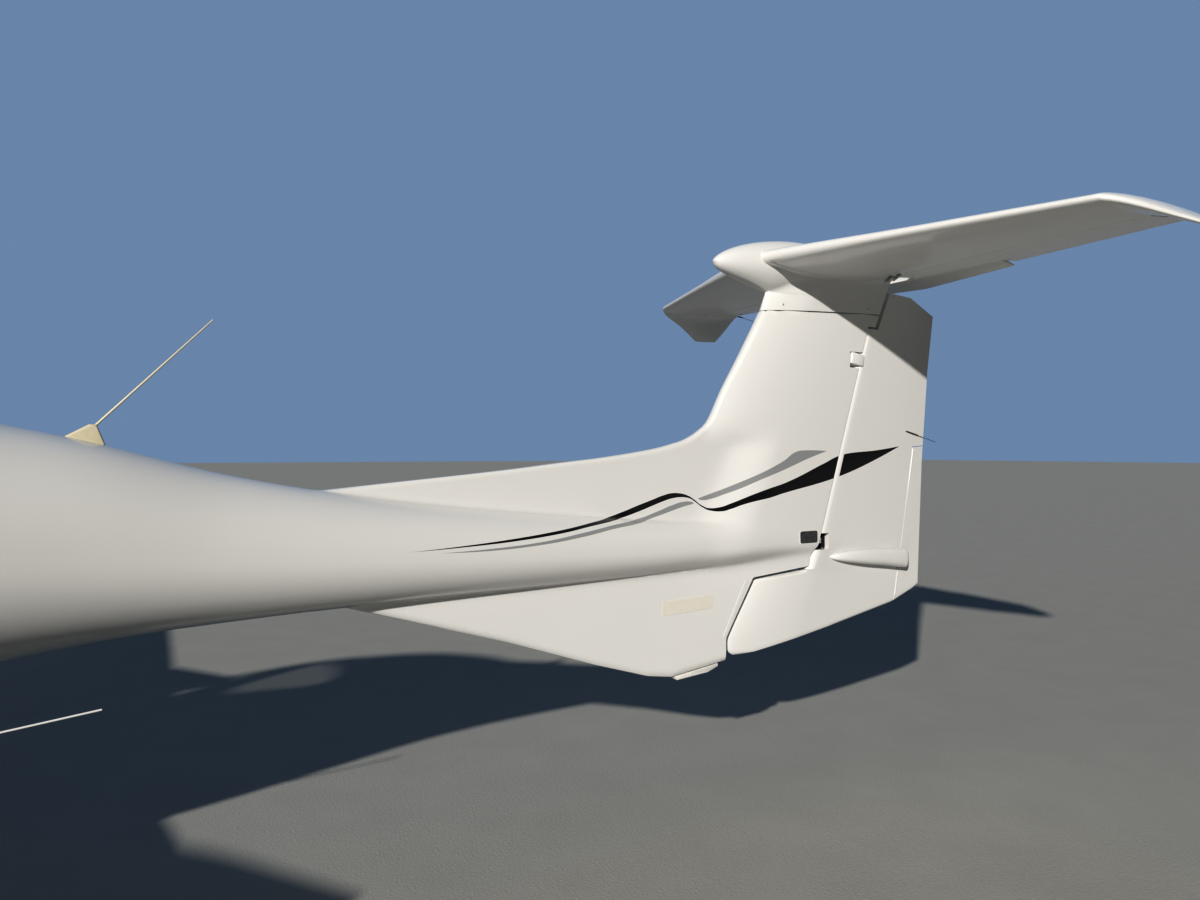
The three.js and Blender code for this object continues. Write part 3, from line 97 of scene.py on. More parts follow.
# Distance behind the nose, top, bottom, half width, power of the section
HULL_ROWS = (
    (0.0, 0.925, 0.835, 0.045, 2.0),
    (0.04, 0.985, 0.785, 0.105, 2.0),
    (0.13, 1.05, 0.73, 0.175, 2.1),
    (0.33, 1.125, 0.675, 0.255, 2.2),
    (0.65, 1.208, 0.632, 0.345, 2.3),
    (1.0, 1.29, 0.6, 0.43, 2.4),
    (1.33, 1.368, 0.58, 0.505, 2.4),
    (1.6, 1.508, 0.568, 0.55, 2.4),
    (1.9, 1.682, 0.558, 0.585, 2.4),
    (2.2, 1.828, 0.552, 0.605, 2.4),
    (2.55, 1.932, 0.55, 0.612, 2.4),
    (2.9, 1.962, 0.556, 0.604, 2.4),
    (3.3, 1.94, 0.586, 0.574, 2.4),
    (3.7, 1.868, 0.648, 0.52, 2.3),
    (4.1, 1.755, 0.762, 0.445, 2.2),
    (4.45, 1.628, 0.868, 0.372, 2.1),
    (4.8, 1.545, 0.922, 0.302, 2.1),
    (5.2, 1.436, 0.948, 0.238, 2.0),
    (5.7, 1.345, 0.968, 0.188, 2.0),
    (6.3, 1.276, 0.984, 0.148, 2.0),
    (6.9, 1.222, 1.002, 0.112, 2.0),
    (7.4, 1.192, 1.026, 0.078, 2.0),
    (7.73, 1.176, 1.035, 0.05, 2.0),
)
WIDEST_LEVEL = 0.44
NOSE_ROUND = 0.04
NOSE_JOINT = 1.29
BOOM_JOINT = 4.1
WALL = 0.024
SEAM = 0.006
SET_APART = 0.0006

# Fin: leading edge as x and level, thickness as a share of the chord
FIN_EDGE = (
    (1.188, 1.376), (1.893, 1.442), (2.171, 1.473), (2.359, 1.493), (2.586, 1.526), (2.68, 1.547),
    (2.754, 1.569), (2.829, 1.61), (2.883, 1.66), (2.949, 1.786), (3.04, 1.934), (3.108, 2.049),
    (3.167, 2.154), (3.193, 2.231), (3.215, 2.33),
)
FIN_RATIO = 0.098
DORSAL_HALF = 0.016
FIN_FOOT = (0.97, 1.09)

# Ventral fin's lower edge as x and level
KEEL = (
    (1.25, 0.98), (1.33, 0.953), (1.917, 0.778), (2.304, 0.645), (2.557, 0.568), (2.674, 0.551),
    (2.842, 0.575), (2.962, 0.592), (3.3, 0.62),
)
VENTRAL_HALF = 0.024


def along(rows, x, column=1):
    """Value at x of a smooth curve through a column of rows whose first column rises."""
    if x <= rows[0][0]:
        return rows[0][column]
    if x >= rows[-1][0]:
        return rows[-1][column]
    i = next(k for k, row in enumerate(rows) if row[0] > x) - 1

    def slope(k):
        low, high = rows[max(k - 1, 0)], rows[min(k + 1, len(rows) - 1)]
        return (high[column] - low[column]) / (high[0] - low[0])

    width = rows[i + 1][0] - rows[i][0]
    t = (x - rows[i][0]) / width
    rise = (3 - 2 * t) * t * t
    return (
        (1 - rise) * rows[i][column]
        + rise * rows[i + 1][column]
        + t * (1 - t) ** 2 * width * slope(i)
        - t * t * (1 - t) * width * slope(i + 1)
    )


def straight(rows, x, column=1):
    """Value at x on straight lines through a column of rows."""
    return np.interp(x, [row[0] for row in rows], [row[column] for row in rows])


def row_at(rows, x, follow=along):
    """Values at x of all the columns of rows but the first."""
    return [follow(rows, x, column) for column in range(1, len(rows[0]))]


def smooth_max(a, b, blend):
    """The larger of two lengths, with a rounded change from one to the other."""
    near = np.maximum(blend - np.abs(a - b), 0) / blend
    return np.maximum(a, b) + near * near * blend / 4


def ease(value, low, high):
    """Rises smoothly from 0 at low to 1 at high."""
    t = np.clip((value - low) / (high - low), 0, 1)
    return t * t * (3 - 2 * t)


def rounding(distance, radius):
    """Share of the full thickness at a distance from a rounded edge."""
    inside = 1 - np.clip(distance / radius, 0, 1)
    return np.sqrt(1 - inside * inside)


def aerofoil_half(share, ratio):
    """Half thickness of a symmetric aerofoil at a share of the chord, in chords."""
    c = np.clip(share, 0, 1)
    shape = 0.2969 * np.sqrt(c) - 0.126 * c - 0.3516 * c**2 + 0.2843 * c**3 - 0.1036 * c**4
    return 5 * ratio * shape


def aerofoil_outline(lead, chord, shares, upper, lower):
    """Points along an aerofoil's upper side to its nose and back along its lower side."""
    places = lead + shares * chord
    return [*zip(places[::-1], upper[::-1]), *zip(places[1:], lower[1:])]


def hinged_outline(x, z, radius, lead, chord, first, middle_of, ratio, least):
    """A round nose about a hinge, then the aerofoil's lower side from there on, and its upper one."""
    nose = [
        (x + radius * cos(t), z + radius * sin(t))
        for t in np.linspace(0.5 * pi, 1.5 * pi, 17)
    ]
    shares = np.linspace(first, 1, 12)[1:]
    places, middle = lead + shares * chord, middle_of(shares)
    halves = np.maximum(chord * aerofoil_half(shares, ratio), least)
    return [*nose, *zip(places, middle - halves), *zip(places[::-1], (middle + halves)[::-1])]


def stations(first, *reaches):
    """Places from the first on. Each reach gives where it ends and how far apart its places are."""
    places = [first]
    for end, step in reaches:
        count = max(round(abs(end - places[-1]) / step), 1)
        places.extend(np.linspace(places[-1], end, count + 1)[1:])
    return places


def closing(count):
    """Shares from 0 to 1 that lie closer together at both ends."""
    return 0.5 - 0.5 * np.cos(np.linspace(0, pi, count))


def main_lead(z):
    """Leading edge of the fin's straight upper part, carried on downwards."""
    return 2.949 + 0.548 * (z - 1.786)


RUDDER_TRAIL = (
    (0.56, 3.99), (0.841, 4.168), (1.463, 4.199), (1.92, 4.24), (2.22, 4.282), (2.33, 4.29),
)


def fin_front(z):
    """Leading edge of the fin at a level."""
    return np.interp(z, [row[1] for row in FIN_EDGE], [row[0] for row in FIN_EDGE])


def fin_half(x, z):
    """Half thickness of the fin at x and a level, or an array of levels."""
    lead, trail = main_lead(z), straight(RUDDER_TRAIL, z)
    share = (x - lead) / (trail - lead)
    edge_x = fin_front(z)
    fillet = np.clip((lead - edge_x) / 0.15, 0, 1)
    main = (trail - lead) * aerofoil_half(share, FIN_RATIO)
    main = main * (1 - fillet * (1 - ease(share, 0, 0.3)))
    down = along(FIN_EDGE, x) - z if x < FIN_EDGE[-1][0] else np.full_like(z, 1.0)
    back = x - edge_x
    apart = np.where((down > 0) & (back > 0), down * back / np.maximum(np.hypot(down, back), 1e-9), 0)
    edge = DORSAL_HALF * rounding(apart, DORSAL_HALF)
    return smooth_max(main, edge, 0.012) * rounding(apart, 0.01) * ease(z, *FIN_FOOT)


def hull_row(x):
    """Top, bottom, half width and power of the hull's section at x."""
    s = x - NOSE_X
    if s >= NOSE_ROUND:
        return row_at(HULL_ROWS, s)
    share = max(sqrt(max(s, 0) / NOSE_ROUND), 0.01)
    _, top, bottom, half, power = HULL_ROWS[1]
    middle = bottom + WIDEST_LEVEL * (top - bottom)
    return [middle + share * (top - middle), middle + share * (bottom - middle), share * half, power]


def hull_half(x, z, inset=0.0):
    """Half width of the hull at x and a level, or an array of them, negative beyond top and bottom."""
    top, bottom, half, power = hull_row(x)
    middle = bottom + WIDEST_LEVEL * (top - bottom)
    height = np.where(z > middle, top - inset - middle, middle - bottom - inset)
    t = np.abs(z - middle) / height
    inside = (half - inset) * (1 - np.minimum(t, 1) ** power) ** (1 / power)
    return inside - 2 * np.maximum(t - 1, 0) * height


def fin_cap(x):
    """Level of the seam between the fin and its cap."""
    return 2.153 + 0.038 * (x - 3.143)


def section_half(x, z):
    """Half width of hull, fin and ventral fin together, with their fillets."""
    width = hull_half(x, z)
    if x < FIN_EDGE[0][0]:
        return width
    late = ease(x, 2.9, 3.4)
    thick = VENTRAL_HALF + 0.021 * ease(x, 2.7, 3.35) * ease(z, 0.62, 0.95)
    keel = thick * rounding((z - straight(KEEL, x)) * 0.94, 0.03) * (1 - ease(z, 1.0, 1.1))
    return smooth_max(smooth_max(width, fin_half(x, z), 0.07 - 0.05 * late), keel, 0.05)


def evenly(points, count):
    """As many points, evenly spaced along a line through the given ones."""
    points = np.array(points)
    steps = np.hypot(*np.diff(points, axis=0).T)
    length = np.concatenate([[0], np.cumsum(steps)])
    places = np.linspace(0, length[-1], count)
    return np.array([np.interp(places, length, points[:, k]) for k in (0, 1)]).T


def section_ring(x, count=60, inset=0.0):
    """A closed section square to X: from the top down the starboard side and up the port side."""
    top, bottom, _, _ = hull_row(x)
    top, bottom = top - inset, bottom + inset
    middle = bottom + WIDEST_LEVEL * (top - bottom)
    turn = np.linspace(0, pi, 90)
    hull_levels = middle + np.where(turn < pi / 2, top - middle, middle - bottom) * np.cos(turn)
    highest, lowest = top, bottom
    if not inset and x > FIN_EDGE[0][0]:
        highest = max(top, min(along(FIN_EDGE, x), fin_cap(x)))
        lowest = min(bottom, straight(KEEL, x))
    above = highest + closing(60) * (top - highest)
    below = bottom + closing(60) * (lowest - bottom)
    levels = np.unique(np.concatenate([hull_levels, above, below]))[::-1]
    half = hull_half(x, levels, inset) if inset else section_half(x, levels)
    line = [(0, highest), *zip(np.maximum(half, 0), levels), (0, lowest)]
    side = evenly(line, count)
    side[0, 0] = side[-1, 0] = 0
    starboard = [Vector((x, y, z)) for y, z in side]
    port = [Vector((x, -y, z)) for y, z in side[::-1]]
    return starboard + port[1:]


def skin(rows, inward=False):
    """A closed shape of quads over rows of points that end where they start; inward for a lining."""
    bm = bmesh.new()
    down, across = len(rows) - 1, len(rows[0]) - 1
    bmesh.ops.create_grid(bm, x_segments=across, y_segments=down, size=1)
    for vert in bm.verts:
        row, column = round((vert.co.y + 1) / 2 * down), round((vert.co.x + 1) / 2 * across)
        vert.co = rows[row][column]
    bmesh.ops.remove_doubles(bm, verts=bm.verts, dist=MERGE)
    ends = [edge for edge in bm.edges if edge.is_boundary]
    bmesh.ops.holes_fill(bm, edges=ends, sides=0)
    bmesh.ops.recalc_face_normals(bm, faces=bm.faces)
    if inward:
        bmesh.ops.reverse_faces(bm, faces=bm.faces)
        for face in bm.faces:
            face.material_index = 1
    return bm


def ring(points):
    """The points with the first one repeated, which closes a row."""
    return [Vector(point) for point in (*points, points[0])]


def oval(place, half, rise, drop, count, power=2.0, low_power=None):
    """A closed section square to X, whose lower half may have its own height and power."""
    x, y, z = place
    points = []
    for turn in np.linspace(0, 2 * pi, count + 1)[:-1]:
        up, out = cos(turn), sin(turn)
        height, bend = (rise, 2 / power) if up > 0 else (drop, 2 / (low_power or power))
        across = half * copysign(abs(out) ** bend, out)
        points.append((x, y + across, z + height * copysign(abs(up) ** bend, up)))
    return ring(points)


def prism(outline, start, end, radius=0.0, axis="Y"):
    """A solid whose outline is seen along an axis; its corners are rounded by the radius."""
    place = {"X": lambda u, v, w: (w, u, v), "Y": lambda u, v, w: (u, w, v), "Z": lambda u, v, w: (u, v, w)}
    bm = bmesh.new()
    face = bm.faces.new([bm.verts.new(place[axis](u, v, start)) for u, v in outline])
    grown = bmesh.ops.extrude_face_region(bm, geom=[face])["geom"]
    moved = [part for part in grown if isinstance(part, bmesh.types.BMVert)]
    bmesh.ops.translate(bm, verts=moved, vec=place[axis](0, 0, end - start))
    if radius:
        ends = set(moved)
        corners = [edge for edge in bm.edges if (edge.verts[0] in ends) != (edge.verts[1] in ends)]
        bevel(bm, corners, radius, 6)
    bmesh.ops.recalc_face_normals(bm, faces=bm.faces)
    return bm


def block(low, high, radius=0.0, segments=3):
    """A box between two corners, its edges rounded by the radius."""
    bm = bmesh.new()
    size = Vector(high) - Vector(low)
    centre = (Vector(high) + Vector(low)) / 2
    bmesh.ops.create_cube(bm, size=1, matrix=Matrix.Translation(centre) @ Matrix.Diagonal((*size, 1)))
    if radius:
        bevel(bm, list(bm.edges), radius, segments)
    return bm


def bar(start, end, radius, end_radius=None, segments=20):
    """A round bar between two points."""
    start, end = Vector(start), Vector(end)
    turn = (end - start).to_track_quat("Z", "Y").to_matrix().to_4x4()
    bm = bmesh.new()
    bmesh.ops.create_cone(
        bm, cap_ends=True, segments=segments, radius1=radius, radius2=end_radius or radius,
        depth=(end - start).length, matrix=Matrix.Translation((start + end) / 2) @ turn,
    )
    return bm


def turned(profile, axis, steps, centre=(0, 0, 0)):
    """A profile of distance from an axis and place along it, turned about the axis through a centre."""
    place = {"X": lambda r, a: (a, 0, r), "Y": lambda r, a: (r, a, 0), "Z": lambda r, a: (r, 0, a)}
    bm = bmesh.new()
    verts = [bm.verts.new(place[axis](r, a)) for r, a in profile]
    edges = [bm.edges.new(pair) for pair in zip(verts, verts[1:])]
    about = [name == axis for name in "XYZ"]
    bmesh.ops.spin(
        bm, geom=[*verts, *edges], cent=(0, 0, 0), axis=about, angle=2 * pi, steps=steps,
        use_merge=True, use_duplicate=False,
    )
    bmesh.ops.remove_doubles(bm, verts=bm.verts, dist=MERGE)
    bmesh.ops.recalc_face_normals(bm, faces=bm.faces)
    bmesh.ops.translate(bm, verts=bm.verts, vec=centre)
    return bm


def bevel(bm, edges, width, segments=2):
    """Rounds edges."""
    bmesh.ops.bevel(
        bm, geom=edges, offset=width, affect="EDGES", segments=segments, profile=0.5, material=-1,
        clamp_overlap=True,
    )


def eased(bm, width, segments=2, angle=35):
    """The shape with its sharp edges rounded."""
    limit = radians(angle)
    sharp = [edge for edge in bm.edges if len(edge.link_faces) == 2 and edge.calc_face_angle() > limit]
    bevel(bm, sharp, width, segments)
    return bm


def joined(*shapes):
    """Several shapes as one."""
    whole = bmesh.new()
    for shape in shapes:
        mesh = bpy.data.meshes.new("work")
        shape.to_mesh(mesh)
        shape.free()
        whole.from_mesh(mesh)
        bpy.data.meshes.remove(mesh)
    return whole


def mirrored(bm):
    """The shape's mirror image on the other side of the aircraft."""
    other = bm.copy()
    bmesh.ops.scale(other, vec=(1, -1, 1), verts=other.verts)
    bmesh.ops.reverse_faces(other, faces=other.faces)
    return other


def on_side(bm, sign):
    """The shape itself to starboard, its mirror image to port."""
    return bm.copy() if sign > 0 else mirrored(bm)


def temporary(bm):
    """An object that holds a shape while it is worked on."""
    mesh = bpy.data.meshes.new("work")
    bm.to_mesh(mesh)
    bm.free()
    return placed("work", mesh)


def combine(bm, tools, operation="DIFFERENCE"):
    """The shape with other shapes cut from it, added to it or kept where they meet it."""
    base, helpers = temporary(bm), [temporary(tool) for tool in tools]
    for helper in helpers:
        step = base.modifiers.new("step", "BOOLEAN")
        step.operation, step.solver, step.object = operation, "EXACT", helper
    result = bmesh.new()
    result.from_object(base, bpy.context.evaluated_depsgraph_get())
    for piece in [base, *helpers]:
        bpy.data.meshes.remove(piece.data)
    bmesh.ops.remove_doubles(result, verts=result.verts, dist=MERGE)
    return result


def moved(bm, *vector):
    """The shape carried along a vector."""
    bmesh.ops.translate(bm, verts=bm.verts, vec=vector)
    return bm


def rotated(bm, turn, axis="Y", centre=(0, 0, 0)):
    """The shape turned about an axis through a centre."""
    bmesh.ops.rotate(bm, verts=bm.verts, cent=centre, matrix=Matrix.Rotation(turn, 3, axis))
    return bm


def tube(points, radius, segments=12, closed=False):
    """A round tube along points; closed makes it a loop."""
    points = [Vector(point) for point in points]
    last = len(points) - 1
    side, rows = None, []
    for k, here in enumerate(points):
        before = points[k - 1] if k or closed else here
        after = points[(k + 1) % len(points)] if k < last or closed else here
        way = (after - before).normalized()
        side = side or way.orthogonal()
        side = (side - way * side.dot(way)).normalized()
        up = way.cross(side)
        turns = [2 * pi * n / segments for n in range(segments)]
        rows.append(ring([here + radius * (cos(t) * side + sin(t) * up) for t in turns]))
    return skin([*rows, rows[0]] if closed else rows)


def bent(points, steps=6):
    """A smooth line through points."""
    rows = [(k, *point) for k, point in enumerate(points)]
    places = np.linspace(0, len(rows) - 1, (len(rows) - 1) * steps + 1)
    return [row_at(rows, place) for place in places]


def rounds(centre, radius, count, axis="X", first=0.0):
    """Evenly spaced points of a circle square to an axis."""
    place = {"X": lambda u, v: (0, u, v), "Y": lambda u, v: (u, 0, v), "Z": lambda u, v: (u, v, 0)}[axis]
    turns = [first + 2 * pi * k / count for k in range(count)]
    return [Vector(centre) + Vector(place(radius * sin(t), radius * cos(t))) for t in turns]


def studs(places, way, radius, height, segments=6):
    """Bolt or screw heads at places, standing along a direction."""
    half = Vector(way).normalized() * height / 2
    bars = [bar(place - half, place + half, radius, segments=segments) for place in map(Vector, places)]
    return joined(*[eased(head, 0.0006, 1) for head in bars])


def placed(name, data):
    """A new object in the scene."""
    piece = bpy.data.objects.new(name, data)
    bpy.context.scene.collection.objects.link(piece)
    return piece


def finished(name, bm, materials, body="airframe", nodes=(), slot=None):
    """A piece at the origin that rides on a body, smooth but for its sharp edges."""
    mesh = bpy.data.meshes.new(name)
    for face in bm.faces:
        face.smooth = True
    bm.to_mesh(mesh)
    bm.free()
    mesh.set_sharp_from_angle(angle=radians(SMOOTH_ANGLE))
    materials = materials if isinstance(materials, tuple) else (materials,)
    for material in materials:
        mesh.materials.append(material())
    piece = placed(name, mesh)
    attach(piece, body)
    slot or materials[0].slot
    if nodes:
        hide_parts(*nodes)
    return piece


def pair(name, bm, materials, body="airframe", node=""):
    """A starboard piece and its mirror image to port, on one body or on a body of each side."""
    for side, sign in SIDES.items():
        rides_on = body if body in frame["bodies"] else f"{body}_{side}"
        nodes = [f"{node}_{side}"] if node else ()
        finished(f"{name}_{side}", on_side(bm, sign), materials, rides_on, nodes)


def dressed(node, material, width=0.003):
    """A copy of a construction solid with rounded edges, in its place."""
    solid = frame["nodes"][node]
    bm = bmesh.new()
    bm.from_mesh(solid.data)
    bmesh.ops.remove_doubles(bm, verts=bm.verts, dist=MERGE)
    bmesh.ops.dissolve_limit(bm, angle_limit=radians(1), verts=bm.verts, edges=bm.edges)
    bmesh.ops.recalc_face_normals(bm, faces=bm.faces)
    finished(f"{node}_form", eased(bm, width, 2, 28), material, solid["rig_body"], [node])


def shrunk(outline, margin):
    """A convex outline with each corner moved inwards by the margin."""
    points = [Vector(point) for point in outline]
    area = sum(a.x * b.y - b.x * a.y for a, b in zip(points, points[1:] + points[:1]))
    sign = copysign(1, area)
    edges = []
    for here, there in zip(points, points[1:] + points[:1]):
        way = (there - here).normalized()
        edges.append((here + margin * sign * Vector((-way.y, way.x)), way))
    corners = []
    for k, (place, way) in enumerate(edges):
        before, way_before = edges[k - 1]
        cross = way_before.cross(way)
        t = (place - before).cross(way) / cross
        corners.append(before + t * way_before)
    return corners


class Signal:
    """A value on its way through a material. Sums and products of signals add maths nodes."""

    def __init__(self, look, socket):
        self.look = look
        self.socket = socket

    def maths(self, operation, *values):
        return self.look.node("ShaderNodeMath", {"operation": operation}, *values)

    def __add__(self, other):
        return self.maths("ADD", self, other)

    def __sub__(self, other):
        return self.maths("SUBTRACT", self, other)

    def __rsub__(self, other):
        return self.maths("SUBTRACT", other, self)

    def __mul__(self, other):
        return self.maths("MULTIPLY", self, other)

    def __truediv__(self, other):
        return self.maths("DIVIDE", self, other)

    __radd__ = __add__
    __rmul__ = __mul__

    def step(self, low, high):
        """Rises smoothly from 0 at low to 1 at high."""
        values = {"Value": self, "From Min": low, "From Max": high}
        return self.look.node("ShaderNodeMapRange", {"interpolation_type": "SMOOTHSTEP"}, **values)


class Look:
    """A procedural material while it is being made."""

    def __init__(self, colour, roughness, constants=None, name="look"):
        self.material = bpy.data.materials.new(name)
        self.material.use_nodes = True
        self.tree = self.material.node_tree
        self.shader = self.tree.nodes["Principled BSDF"]
        self.shader.inputs["Base Color"].default_value = (*colour, 1)
        self.shader.inputs["Roughness"].default_value = roughness
        for key, value in (constants or {}).items():
            self.shader.inputs[key].default_value = value
        self.spot = self.node("ShaderNodeTexCoord", {}, output="Object")

    def node(self, kind, settings=None, *values, output=0, numbered=None, **named):
        """Adds a node: its settings first, then the values or links of its sockets."""
        made = self.tree.nodes.new(kind)
        for key, value in (settings or {}).items():
            setattr(made, key, value)
        for key, value in [*enumerate(values), *(numbered or {}).items(), *named.items()]:
            if isinstance(value, Signal):
                self.tree.links.new(value.socket, made.inputs[key])
            else:
                made.inputs[key].default_value = value
        return Signal(self, made.outputs[output])

    def axes(self):
        """The three coordinates of the spot, as signals."""
        first = self.node("ShaderNodeSeparateXYZ", {}, self.spot)
        return [Signal(self, socket) for socket in first.socket.node.outputs]

    def noise(self, scale, detail, stretch=(1, 1, 1)):
        """Soft random values around a half, about so many to the metre."""
        place = self.node("ShaderNodeMapping", {}, Vector=self.spot, Scale=stretch)
        return self.node("ShaderNodeTexNoise", {}, Vector=place, Scale=scale, Detail=detail)

    def mix(self, mask, first, second):
        """A colour between two, by a mask."""
        first, second = (c if isinstance(c, Signal) else (*c, 1) for c in (first, second))
        sockets = {0: mask, 6: first, 7: second}
        return self.node("ShaderNodeMix", {"data_type": "RGBA"}, output=2, numbered=sockets)

    def tint(self, mask, first, second):
        """Lets the surface's colour lie between two, by a mask."""
        self.feed("Base Color", self.mix(mask, first, second))

    def curve(self, x, points, low, high):
        """A level that follows points of x and level between a low and a high one."""
        first, last = points[0][0], points[-1][0]
        made = self.tree.nodes.new("ShaderNodeFloatCurve")
        line = made.mapping.curves[0]
        spots = [
            ((place - first) / (last - first), (level - low) / (high - low)) for place, level in points
        ]
        line.points[0].location, line.points[-1].location = spots[0], spots[-1]
        for spot in spots[1:-1]:
            line.points.new(*spot)
        made.mapping.update()
        share = (x - first) / (last - first)
        self.tree.links.new(share.socket, made.inputs["Value"])
        return Signal(self, made.outputs[0]) * (high - low) + low

    def feed(self, name, signal):
        """Lets a signal drive one of the shader's sockets."""
        self.tree.links.new(signal.socket, self.shader.inputs[name])

    def bump(self, height, distance):
        """Raises the surface by a height signal."""
        self.feed("Normal", self.node("ShaderNodeBump", {}, Height=height, Distance=distance))


# The livery's stripes: colour, then x, lower edge and upper edge
BLACK = (0.012, 0.012, 0.013)
GREY = (0.3, 0.31, 0.315)
STRIPES = (
    (GREY, (
        (1.604, 1.1535, 1.1545), (1.8, 1.151, 1.159), (2.0, 1.16, 1.171), (2.2, 1.181, 1.196),
        (2.35, 1.203, 1.217), (2.5, 1.22, 1.235), (2.6, 1.242, 1.262), (2.68, 1.264, 1.288),
        (2.74, 1.28, 1.3), (2.76, 1.284, 1.3), (2.785, 1.289, 1.2895),
    )),
    (GREY, (
        (2.805, 1.3105, 1.3112), (2.83, 1.303, 1.319), (2.88, 1.31, 1.334), (2.93, 1.325, 1.35),
        (3.0, 1.347, 1.375), (3.12, 1.391, 1.42), (3.24, 1.43, 1.471), (3.335, 1.463, 1.518),
        (3.36, 1.472, 1.52), (3.51, 1.517, 1.518),
    )),
    (BLACK, (
        (1.485, 1.164, 1.1648), (1.7, 1.17, 1.1756), (1.9, 1.18, 1.19), (2.1, 1.1976, 1.21),
        (2.25, 1.218, 1.23), (2.35, 1.23, 1.245), (2.42, 1.241, 1.263), (2.5, 1.262, 1.289),
        (2.58, 1.288, 1.314), (2.63, 1.304, 1.3295), (2.68, 1.316, 1.338), (2.72, 1.319, 1.335),
        (2.75, 1.316, 1.327), (2.79, 1.298, 1.3055), (2.83, 1.272, 1.2795), (2.87, 1.2565, 1.268),
        (2.91, 1.2525, 1.2715), (2.96, 1.262, 1.286), (3.015, 1.279, 1.305), (3.08, 1.294, 1.327),
        (3.16, 1.3075, 1.35), (3.24, 1.326, 1.37), (3.49, 1.374, 1.459), (3.6, 1.4, 1.497),
        (3.66, 1.416, 1.507), (3.84, 1.474, 1.52), (4.02, 1.54, 1.541),
    )),
)
PAINT_EDGE = 0.0008


def painted(look, colour, x, z, bare=None):
    """Adds the livery's stripes to a colour, but for where the bare mask is."""
    for paint, rows in STRIPES:
        low = min(row[1] for row in rows) - 0.001
        high = max(row[2] for row in rows) + 0.001
        lower = look.curve(x, [(row[0], row[1]) for row in rows], low, high)
        upper = look.curve(x, [(row[0], row[2]) for row in rows], low, high)
        mask = (z - lower).step(0, PAINT_EDGE) * (upper - z).step(0, PAINT_EDGE)
        colour = look.mix(mask * bare if bare else mask, colour, paint)
    return colour


GLOSS = {"Coat Weight": 0.3, "Coat Roughness": 0.05}
made_looks = {}


def look_of(slot):
    """Lets a material be made on its first use and notes the slot of the pieces that it covers."""
    def once(make):
        def shared():
            if make.__name__ not in made_looks:
                made_looks[make.__name__] = make().material
                made_looks[make.__name__].name = make.__name__
            return made_looks[make.__name__]

        shared.slot = slot
        return shared

    return once


def gelcoat_surface():
    """Gloss white gelcoat with faint dust and polishing marks: the look, its colour, x and level."""
    colours = bpy.context.scene.aircraft_colours
    look = Look(colours.gelcoat, 0.24, GLOSS)
    x, _, z = look.axes()
    dust = look.noise(55.0, 6.0)
    shade = (look.noise(1.6, 4.0) - 0.5) * 0.2 + (dust - 0.5) * 0.08
    worn = tuple(c * 0.94 for c in colours.gelcoat)
    colour = look.mix((0.18 + shade).step(0.0, 1.0), colours.gelcoat, worn)
    look.feed("Roughness", 0.23 + look.noise(7.0, 5.0) * 0.05)
    look.bump(look.noise(2.5, 1.0), 0.0015)
    return look, colour, x, z


@look_of("gelcoat")
def plain_gelcoat():
    look, colour, _, _ = gelcoat_surface()
    look.feed("Base Color", colour)
    return look


@look_of("gelcoat")
def striped_gelcoat():
    look, colour, x, z = gelcoat_surface()
    look.feed("Base Color", painted(look, colour, x, z))
    return look


@look_of("gelcoat")
def rudder_gelcoat():
    """Striped gelcoat whose paint starts behind the rudder's nose."""
    look, colour, x, z = gelcoat_surface()
    foot, slope = rudder_axis(0.0), rudder_axis(1.0) - rudder_axis(0.0)
    behind = (x - (foot + 0.004) - z * slope).step(0, PAINT_EDGE)
    look.feed("Base Color", painted(look, colour, x, z, behind))
    return look


@look_of("gelcoat")
def banded_gelcoat():
    """Gelcoat of the tail surfaces, with the slight waves of its spars along the span."""
    look, colour, _, _ = gelcoat_surface()
    look.feed("Base Color", colour)
    look.bump(look.noise(13.0, 2.0, (1, 0.05, 0.2)), 0.0025)
    return look


@look_of("gelcoat")
def cabin_trim():
    """Grey fabric-faced lining of the cabin."""
    look = Look((0.3, 0.3, 0.29), 0.9)
    grain = look.noise(420.0, 2.0)
    look.tint(grain, (0.24, 0.24, 0.235), (0.36, 0.36, 0.35))
    look.bump(grain, 0.0008)
    return look


@look_of("clear_panel")
def clear_acrylic():
    """Clear canopy plastic, a little dusty."""
    look = Look((0.62, 0.68, 0.7), 0.03, {"Coat Weight": 1.0, "Coat Roughness": 0.02})
    dust = look.noise(30.0, 6.0)
    look.feed("Alpha", 0.2 + dust * 0.12)
    look.feed("Roughness", 0.03 + dust * 0.05)
    return look


def metal_look(colour, roughness, grain=90.0):
    """Worked metal with fine grain and patches of grime."""
    look = Look(colour, roughness, {"Metallic": 1.0})
    grime = look.noise(14.0, 5.0).step(0.45, 0.75)
    fine = look.noise(grain, 4.0)
    dirty = tuple(c * 0.45 for c in colour)
    look.tint(grime * 0.7, colour, dirty)
    look.feed("Roughness", roughness + fine * 0.15 + grime * 0.2)
    look.bump(fine, 0.0003)
    return look


@look_of("steel")
def painted_steel():
    """White enamel on the legs, rubbed and oily in places."""
    look = Look((0.7, 0.69, 0.66), 0.35)
    grime = look.noise(11.0, 6.0).step(0.5, 0.8)
    look.tint(grime * 0.6, (0.7, 0.69, 0.66), (0.2, 0.17, 0.13))
    look.feed("Roughness", 0.32 + grime * 0.35)
    look.bump(look.noise(160.0, 3.0), 0.0003)
    return look


@look_of("steel")
def bare_steel():
    return metal_look((0.5, 0.49, 0.47), 0.35)


@look_of("steel")
def brown_steel():
    return metal_look((0.3, 0.2, 0.12), 0.5)


@look_of("cast_metal")
def cast_metal():
    return metal_look((0.28, 0.28, 0.29), 0.6, 240.0)


@look_of("alloy")
def polished_alloy():
    return metal_look((0.74, 0.74, 0.75), 0.28, 60.0)


